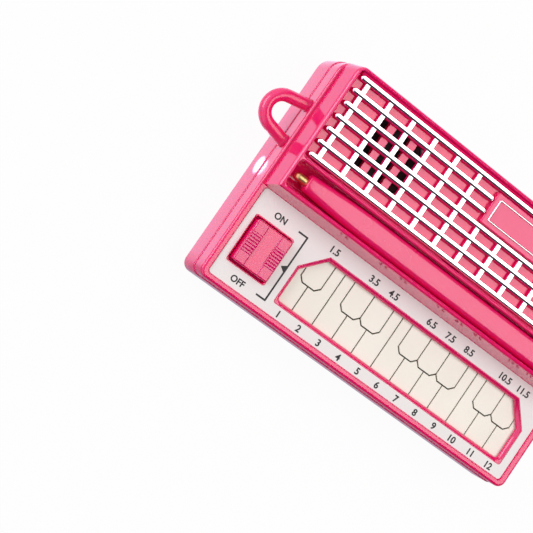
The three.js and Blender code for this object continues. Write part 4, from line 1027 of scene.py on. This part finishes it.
# The lead's inlet: its foot, flange and bore, and its mouth as distances from the top and radii
INLET_FOOT = ((1.0, 0.75), (0.0, 0.85), (0.0, 1.2))
INLET_NECK = 1.2
INLET_RIM = 1.6
INLET_FLANGE = 0.5
INLET_MOUTH = ((0.2, 1.6), (0.05, 1.5), (0, 1.3), (0, 0.95), (0.1, 0.8), (0.4, 0.75))
INLET_FLOOR = 1.2
INLET_BORE = 0.75


class SYNTH_OT_stylus(bpy.types.Operator):
    """Builds the stylus's barrel with its flat, the tip and the lead's inlet"""

    bl_idname = "synth.stylus"
    bl_label = "Stylus"

    def execute(self, context):
        low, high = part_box("stylus_barrel")
        radius = (high.y - low.y) / 2
        flat = context.scene.synth_sizes.barrel_flat
        nose = Vector((low.x, (low.y + high.y) / 2, low.z + radius))
        self.barrel(flat / MM, nose, (high.x - low.x) / MM, radius / MM)
        self.tip(nose)
        self.inlet()
        return {"FINISHED"}

    def barrel(self, flat, nose, long, radius):
        outline = list(BARREL_NOSE)
        for step in range(1, TAPER_STEPS + 1):
            share = step / TAPER_STEPS
            along = TAPER_START + (TAPER_END - TAPER_START) * share
            bow = 1 - (1 - share) ** TAPER_BOW
            outline.append((along, TAPER_RADIUS + (radius - TAPER_RADIUS) * bow))
        outline.append((long / 2, radius))
        outline += [(long - back, radius - inset) for back, inset in BARREL_END]
        outline += [(long, END_BORE_RADIUS), (long - END_BORE_DEPTH, END_BORE_RADIUS)]
        loops = []
        for along, wide in outline:
            loop = []
            for i in range(TURNS):
                turn = 2 * math.pi * (i + 0.5) / TURNS
                reach = self.under_flat(wide, flat, math.cos(turn - FLAT_TILT))
                loop.append(nose + spot(along, reach * math.sin(turn), reach * math.cos(turn)))
            loops.append(loop)
        settle(lofted("stylus_body", loops), "satin", "stylus", "pink_plastic", "stylus_barrel")

    def under_flat(self, wide, flat, upward):
        """The reach of the barrel's section, held under the flat with a soft edge."""
        if upward < FLAT_SHARE:
            return wide
        round_part = math.exp(-FLAT_CRISPNESS * wide)
        flat_part = math.exp(-FLAT_CRISPNESS * flat / upward)
        return -math.log(round_part + flat_part) / FLAT_CRISPNESS

    def tip(self, nose):
        profile = []
        for step in range(TIP_STEPS + 1):
            turn = math.pi / 2 * step / TIP_STEPS
            profile.append((TIP_DOME * (1 - math.cos(turn)) - TIP_REACH, TIP_RADIUS * math.sin(turn)))
        profile.append((TIP_ROOT, TIP_RADIUS))
        piece = turned("stylus_point", profile, nose, X_AXIS)
        settle(piece, "brass", "stylus", "tip_brass", "stylus_tip")

    def inlet(self):
        low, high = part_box("lead_grommet")
        tall = (high.z - low.z) / MM
        profile = [*INLET_FOOT, (tall - INLET_FLANGE, INLET_NECK), (tall - INLET_FLANGE, INLET_RIM)]
        profile += [(tall - down, radius) for down, radius in INLET_MOUTH]
        profile.append((INLET_FLOOR, INLET_BORE))
        piece = turned("inlet_grommet", profile, foot_of("lead_grommet"), Z_AXIS)
        settle(piece, "rubber", "case", "black_rubber", "lead_grommet")


# Speaker grille and the trim of the plate beside it

LONG_BARS = 4
SHORT_BARS = 2
PLATE_GAP = mm(1.25)
BACK_SLOPE = 0.2
LEFT_CROSS_BARS = 6
RIGHT_CROSS_BARS = 7
FIRST_CROSS_BAR = mm(2.3)
CROSS_ROUND = mm(0.12)
TAB_COUNT = 3
TAB_PITCH = mm(33.9)
TAB_HALF_LENGTH = mm(2.3)
TAB_HALF_WIDTH = mm(0.25)
TAB_SINK = mm(0.1)
RAIL_REACH = mm(0.62)
FRONT_RAIL_GAP = mm(0.36)
FRONT_RAIL_RISE = mm(0.5)
BACK_RAIL_LAP = mm(0.1)
BACK_RAIL_RISE = mm(0.8)
TRIM_WIDTH = mm(0.35)
TRIM_CORNER = mm(0.4)

# The trim's section, as shares of its width and height
TRIM_SECTION = (
    (0, 0), (0, 0.5), (0.12, 0.8), (0.3, 0.97), (0.5, 1.0), (0.7, 0.97), (0.88, 0.8), (1, 0.5), (1, 0),
)


class SYNTH_OT_grille(bpy.types.Operator):
    """Builds the grille's rounded bars and the plain trim"""

    bl_idname = "synth.grille"
    bl_label = "Speaker Grille"

    def execute(self, context):
        sizes = context.scene.synth_sizes
        low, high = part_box("speaker_grille")
        plated = high.z - sizes.plating
        tops = self.bars(sizes, low, high, plated, high.z, 0.0, "chrome") + self.tabs(sizes, low, high)
        settle(joined("grille_bars", tops), "chrome", "case", "chrome_trim", "speaker_grille")
        foot = high.z - sizes.grille_depth
        sides = self.bars(sizes, low, high, foot, plated, sizes.bar_ledge, "inside")
        sides += self.rails(low, high, foot)
        settle(joined("grille_sides", sides), "inside", "case", "pink_plastic")
        self.trim()
        return {"FINISHED"}

    def bars(self, sizes, low, high, foot, top, ledge, finish_name):
        """The long bars and the cross bars between two levels."""
        half = sizes.bar_width / 2
        front, back = low.y + half, high.y - half
        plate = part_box("badge_trim")[0].x - PLATE_GAP
        long_bar = self.bar(sizes, (low.x, high.x, -half - ledge, half), foot, top)
        short_bar = self.bar(sizes, (low.x, plate, -half - ledge, half), foot, top)
        up = Y_AXIS * sizes.bar_pitch
        rows = [
            row("long_bars", long_bar, LONG_BARS, Y_AXIS * front, up, finish_name),
            row("short_bars", short_bar, SHORT_BARS, Y_AXIS * front + LONG_BARS * up, up, finish_name),
            row("back_bar", long_bar, 1, Y_AXIS * back, up, finish_name),
        ]
        cross_half = sizes.cross_width / 2
        across = X_AXIS * sizes.cross_pitch
        first = low.x + FIRST_CROSS_BAR
        right_first = first + LEFT_CROSS_BARS * sizes.cross_pitch
        under = max(foot - sizes.cross_sink, high.z - sizes.grille_depth)
        for name, end, start, count in (
            ("left_cross_bars", back, first, LEFT_CROSS_BARS),
            ("right_cross_bars", front + (LONG_BARS - 1) * sizes.bar_pitch, right_first, RIGHT_CROSS_BARS),
        ):
            limits = (-cross_half, cross_half, front, end)
            sample = pillow("cross_sample", limits, under, top - sizes.cross_sink, SOFT_EDGE, CROSS_ROUND)
            rows.append(row(name, sample, count, X_AXIS * start, across, finish_name))
            bpy.data.objects.remove(sample)
        bpy.data.objects.remove(long_bar)
        bpy.data.objects.remove(short_bar)
        return rows

    def tabs(self, sizes, low, high):
        """The tabs that drop into the shell under the front and back bars."""
        top = high.z - sizes.plating - TAB_SINK
        start, step = X_AXIS * -TAB_PITCH, X_AXIS * TAB_PITCH
        rows = []
        for y in (low.y + sizes.bar_width / 2, high.y - sizes.bar_width / 2):
            limits = (-TAB_HALF_LENGTH, TAB_HALF_LENGTH, y - TAB_HALF_WIDTH, y + TAB_HALF_WIDTH)
            sample = pillow("tab_sample", limits, low.z, top, SOFT_EDGE, SOFT_EDGE)
            rows.append(row("tabs", sample, TAB_COUNT, start, step, "chrome"))
            bpy.data.objects.remove(sample)
        return rows

    def bar(self, sizes, limits, low, high):
        """A long bar with round ends and a sloping front."""
        left, right, front, back = limits
        half = (back - front) / 2
        shoulder = high - sizes.bar_drop
        slope = sizes.bar_slope
        levels = (
            (0.0, low), (0.0, shoulder - SOFT_EDGE), (SOFT_EDGE / 2, shoulder),
            (slope - SOFT_EDGE / 2, high - SOFT_EDGE / 3), (slope + SOFT_EDGE, high),
        )
        loops = []
        for inset, z in levels:
            narrow = inset * BACK_SLOPE
            inner = (left + inset, right - inset, front + inset, back - narrow)
            outline = rounded_outline(inner, half - (inset + narrow) / 2 - MERGE)
            loops.append([Vector((x, y, z)) for x, y in outline])
        return lofted("bar_sample", loops)

    def rails(self, low, high, foot):
        """The dull ledges along the recess's front and back."""
        spans = (
            (low.y - RAIL_REACH, low.y - FRONT_RAIL_GAP, FRONT_RAIL_RISE),
            (high.y - BACK_RAIL_LAP, high.y + RAIL_REACH, BACK_RAIL_RISE),
        )
        return [
            pillow("rail", (low.x, high.x, front, back), foot, foot + rise, SOFT_EDGE, SOFT_EDGE)
            for front, back, rise in spans
        ]

    def trim(self):
        low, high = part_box("badge_trim")
        tall = high.z - low.z
        levels = [(share * TRIM_WIDTH, low.z + rise * tall) for share, rise in TRIM_SECTION]
        loops = stacked((low.x, high.x, low.y, high.y), TRIM_CORNER, levels)
        settle(lofted("plate_trim", loops, ring=True), "chrome", "case", "chrome_trim", "badge_trim")


# Screws, with their profiles in millimetres

# The case screws' heads: distances from the face, each with a share of the radius
HEAD_DOME = ((0, 0), (0, 0.6), (0.12, 0.85), (0.4, 1))
HEAD_HEIGHT = 1.3
NECK_RADIUS = 0.8
CASE_THREAD_START = 1.5

# The door screw's countersunk head
COUNTERSINK_EDGE = 0.05
COUNTERSINK_HEIGHT = 0.65
COUNTERSINK_RADIUS = 0.9
DOOR_THREAD_START = 0.8

# One turn of the thread: shares of its pitch and radii
THREAD_PITCH = 0.6
THREAD_TURN = ((0, 0.75), (0.4, 1.0), (0.5, 1.0), (0.9, 0.75))
THREAD_END = 0.9
POINT_LENGTH = 0.8
POINT_RADIUS = 0.7

# The driver's cross
CROSS_HALF_LENGTH = 1.1
CROSS_HALF_WIDTH = 0.28
CROSS_DEPTH = 0.5
CROSS_CORNER = 0.2
CROSS_EDGE = 0.1
CUTTER_CLEAR = 1


class SYNTH_OT_screws(bpy.types.Operator):
    """Builds the case screws and the battery door's screw"""

    bl_idname = "synth.screws"
    bl_label = "Screws"

    def execute(self, context):
        self.case_screws()
        self.door_screw()
        return {"FINISHED"}

    def case_screws(self):
        radius, long = self.measures("case_screw_left_front")
        profile = [(along, radius * share) for along, share in HEAD_DOME]
        profile += [(HEAD_HEIGHT, radius), (HEAD_HEIGHT, NECK_RADIUS)]
        profile += self.shank(CASE_THREAD_START, long)
        sample = self.driven(turned("screw_sample", profile, Vector(), Z_AXIS))
        left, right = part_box("case_screw_left_front")[0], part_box("case_screw_right_front")[0]
        step = X_AXIS * (right.x - left.x)
        rows = []
        for corner in ("left_front", "left_back"):
            rows.append(row("screw_row", sample, 2, foot_of(f"case_screw_{corner}"), step, "steel"))
        bpy.data.objects.remove(sample)
        settle(joined("case_screws", rows), "steel", "case", "steel", *nodes_named("case_screw"))

    def door_screw(self):
        radius, long = self.measures("battery_door_screw")
        profile = [(0, 0), (0, radius - COUNTERSINK_EDGE), (COUNTERSINK_EDGE, radius)]
        profile.append((COUNTERSINK_HEIGHT, COUNTERSINK_RADIUS))
        profile += self.shank(DOOR_THREAD_START, long)
        screw = self.driven(turned("door_screw", profile, Vector(), Z_AXIS))
        screw.data.transform(Matrix.Translation(foot_of("battery_door_screw")))
        settle(screw, "steel", "battery_door", "steel", "battery_door_screw")

    def measures(self, node):
        """A screw's radius and length in millimetres."""
        low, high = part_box(node)
        return (high.x - low.x) / 2 / MM, (high.z - low.z) / MM

    def shank(self, start, long):
        """The thread and the point."""
        points = []
        along = start
        while along + THREAD_PITCH < long - THREAD_END:
            points += [(along + THREAD_PITCH * share, radius) for share, radius in THREAD_TURN]
            along += THREAD_PITCH
        return points + [(long - POINT_LENGTH, POINT_RADIUS), (long, 0)]

    def driven(self, screw):
        """Cuts the driver's cross into a screw's head."""
        arm, width = mm(CROSS_HALF_LENGTH), mm(CROSS_HALF_WIDTH)
        bottom, top = mm(-CUTTER_CLEAR), mm(CROSS_DEPTH)
        cutters = []
        for limits in ((-arm, arm, -width, width), (-width, width, -arm, arm)):
            cutters.append(pillow("cross_cutter", limits, bottom, top, mm(CROSS_CORNER), mm(CROSS_EDGE)))
        for cutter in cutters:
            cut = screw.modifiers.new("cross", "BOOLEAN")
            cut.operation = "DIFFERENCE"
            cut.object = cutter
            finished(screw)
            bpy.data.objects.remove(cutter)
        return screw


# Studio

SENSOR_WIDTH = 36
FLOOR_REACH = 2.0
FLOOR_COLOUR = (0.9, 0.9, 0.9, 1)
FLOOR_ROUGHNESS = 0.9

# Where one brightness passes into another, on the floor, in its bright patch and in the world
FLOOR_EDGE = (mm(-1.2), mm(4))
GLINT_EDGE = (0.75, 1.1)
SKY_EDGE = (-0.6, -0.25)
GLOSS_EDGE = (-0.35, 0.12)


def patch_mask(tree, place, middle, half):
    """1 on a soft-edged oval of the floor."""
    away = wired(tree, "ShaderNodeVectorMath", {0: place, 1: middle}, operation="SUBTRACT")
    scaled = wired(tree, "ShaderNodeVectorMath", {0: away.outputs[0], 1: half}, operation="DIVIDE")
    far = wired(tree, "ShaderNodeVectorMath", {0: scaled.outputs[0]}, operation="LENGTH")
    return ranged(tree, far.outputs["Value"], GLINT_EDGE, (1, 0))


def floor_finish(studio, front):
    """White to the camera and clear from below; tinted in reflections, with painted shade before the case
    and one bright glowing patch that paints a glint on the case.
    """
    material = bpy.data.materials.new("white_floor")
    material.use_nodes = True
    tree = material.node_tree
    shader = tree.nodes["Principled BSDF"]
    shader.inputs["Base Color"].default_value = FLOOR_COLOUR
    shader.inputs["Roughness"].default_value = FLOOR_ROUGHNESS
    path = tree.nodes.new("ShaderNodeLightPath").outputs
    glossy = path["Is Glossy Ray"]
    place = tree.nodes.new("ShaderNodeTexCoord").outputs["Object"]
    parts = wired(tree, "ShaderNodeSeparateXYZ", {0: place}).outputs
    edge = [front + part for part in FLOOR_EDGE]
    # Painted shade: in reflections the floor goes darker before the case, where the case's shadow falls
    painted_front_shade = ranged(tree, parts["Y"], edge, (studio.floor_front, studio.floor_side))
    # Painted glint: a glowing patch that only reflections see, which puts a bright highlight on the case's
    # left side
    mask = patch_mask(tree, place, studio.glint_place, studio.glint_half)
    mirrored = calculated(tree, "ADD", painted_front_shade, calculated(tree, "MULTIPLY", mask, studio.glint))
    glow = wired(tree, "ShaderNodeEmission", {
        "Color": mixed(tree, glossy, WHITE, (*studio.floor_tint, 1), "RGBA"),
        "Strength": mixed(tree, glossy, 1, mirrored),
    })
    seen = calculated(tree, "MAXIMUM", path["Is Camera Ray"], glossy)
    seen = calculated(tree, "MAXIMUM", seen, path["Is Transmission Ray"])
    share = calculated(tree, "MULTIPLY", seen, 1 - studio.floor_shadow)
    above = mixed_shader(tree, share, shader.outputs[0], glow.outputs[0])
    below = tree.nodes.new("ShaderNodeBsdfTransparent").outputs[0]
    under = tree.nodes.new("ShaderNodeNewGeometry").outputs["Backfacing"]
    surface = mixed_shader(tree, under, above, below)
    tree.links.new(surface, tree.nodes["Material Output"].inputs["Surface"])
    return material


def area_lamp(name, place, aim, size, power, tint):
    data = bpy.data.lights.new(name, "AREA")
    data.shape = "RECTANGLE"
    data.size, data.size_y = size
    data.energy = power
    data.color = tint
    lamp = new_object(name, data)
    lamp.location = place
    lamp.rotation_euler = (Vector(aim) - Vector(place)).to_track_quat("-Z", "Y").to_euler()


class SYNTH_OT_studio(bpy.types.Operator):
    """Sets up the camera, the floor, the lamps and the background"""

    bl_idname = "synth.studio"
    bl_label = "Studio"

    def execute(self, context):
        studio = context.scene.synth_studio
        self.make_camera(context, studio)
        self.make_floor(studio)
        area_lamp(
            "softbox", studio.softbox_place, studio.softbox_aim, studio.softbox_size,
            studio.softbox_power, studio.softbox_tint,
        )
        area_lamp(
            "side_box", studio.side_box_place, studio.side_box_aim, studio.side_box_size,
            studio.side_box_power, studio.side_box_tint,
        )
        self.make_world(context, studio)
        context.scene.view_settings.view_transform = "Standard"
        return {"FINISHED"}

    def make_camera(self, context, studio):
        data = bpy.data.cameras.new("camera")
        data.lens = studio.lens
        data.sensor_width = SENSOR_WIDTH
        camera = new_object("camera", data)
        place = Vector(studio.camera_place)
        back = (place - Vector(studio.camera_aim)).normalized()
        right = Y_AXIS.cross(back).normalized()
        up = back.cross(right)
        turn = Matrix.Rotation(studio.camera_roll, 4, back)
        axes = Matrix((right, up, back)).transposed().to_4x4()
        camera.matrix_world = Matrix.Translation(place) @ turn @ axes
        context.scene.camera = camera

    def make_floor(self, studio):
        mesh = bpy.data.meshes.new("floor")
        far = FLOOR_REACH
        corners = [(-far, -far, 0), (far, -far, 0), (far, far, 0), (-far, far, 0)]
        mesh.from_pydata(corners, [], [(0, 1, 2, 3)])
        floor = new_object("floor", mesh)
        mesh.materials.append(floor_finish(studio, CAD_BOX[0][1]))

    def make_world(self, context, studio):
        """White to the camera, bright from the left in reflections, and darker from the front as light."""
        world = bpy.data.worlds.new("studio")
        context.scene.world = world
        world.use_nodes = True
        tree = world.node_tree
        path = tree.nodes.new("ShaderNodeLightPath").outputs
        glossy = path["Is Glossy Ray"]
        place = tree.nodes.new("ShaderNodeTexCoord").outputs["Generated"]
        parts = wired(tree, "ShaderNodeSeparateXYZ", {0: place}).outputs
        soft = ranged(tree, parts["Y"], SKY_EDGE, (studio.dark_side, studio.sky))
        sharp = ranged(tree, parts["X"], GLOSS_EDGE, (studio.left_gloss, studio.dark_gloss))
        sky = wired(tree, "ShaderNodeBackground", {
            "Color": mixed(tree, glossy, WHITE, (*studio.gloss_tint, 1), "RGBA"),
            "Strength": mixed(tree, glossy, soft, sharp),
        })
        white = tree.nodes["Background"]
        white.inputs["Color"].default_value = WHITE
        surface = mixed_shader(tree, path["Is Camera Ray"], sky.outputs[0], white.outputs[0])
        tree.links.new(surface, tree.nodes["World Output"].inputs["Surface"])


# Panel and registration

OPERATORS = (
    SYNTH_OT_studio, SYNTH_OT_case, SYNTH_OT_loop, SYNTH_OT_panel, SYNTH_OT_insides, SYNTH_OT_cap,
    SYNTH_OT_stylus, SYNTH_OT_grille, SYNTH_OT_screws,
)


class SYNTH_PT_panel(bpy.types.Panel):
    """Lists the synthesizer's pieces"""

    bl_label = "Pocket Synthesizer"
    bl_idname = "SYNTH_PT_panel"
    bl_space_type = "VIEW_3D"
    bl_region_type = "UI"
    bl_category = "Synth"

    def draw(self, context):
        for operator in OPERATORS:
            self.layout.operator(operator.bl_idname)


CLASSES = (SynthSizes, SynthColours, SynthStudio, *OPERATORS, SYNTH_PT_panel)
GROUP_NAMES = {"synth_sizes": SynthSizes, "synth_colours": SynthColours, "synth_studio": SynthStudio}


def register():
    for cls in CLASSES:
        bpy.utils.register_class(cls)
    for name, cls in GROUP_NAMES.items():
        setattr(bpy.types.Scene, name, PointerProperty(type=cls))


def unregister():
    for name in GROUP_NAMES:
        delattr(bpy.types.Scene, name)
    for cls in reversed(CLASSES):
        bpy.utils.unregister_class(cls)


def main():
    register()
    make_finishes()
    bpy.ops.synth.studio()
    bpy.ops.synth.case()
    bpy.ops.synth.loop()
    bpy.ops.synth.panel()
    bpy.ops.synth.insides()
    bpy.ops.synth.cap()
    bpy.ops.synth.stylus()
    bpy.ops.synth.grille()
    bpy.ops.synth.screws()
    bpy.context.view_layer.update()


if __name__ == "__main__":
    main()
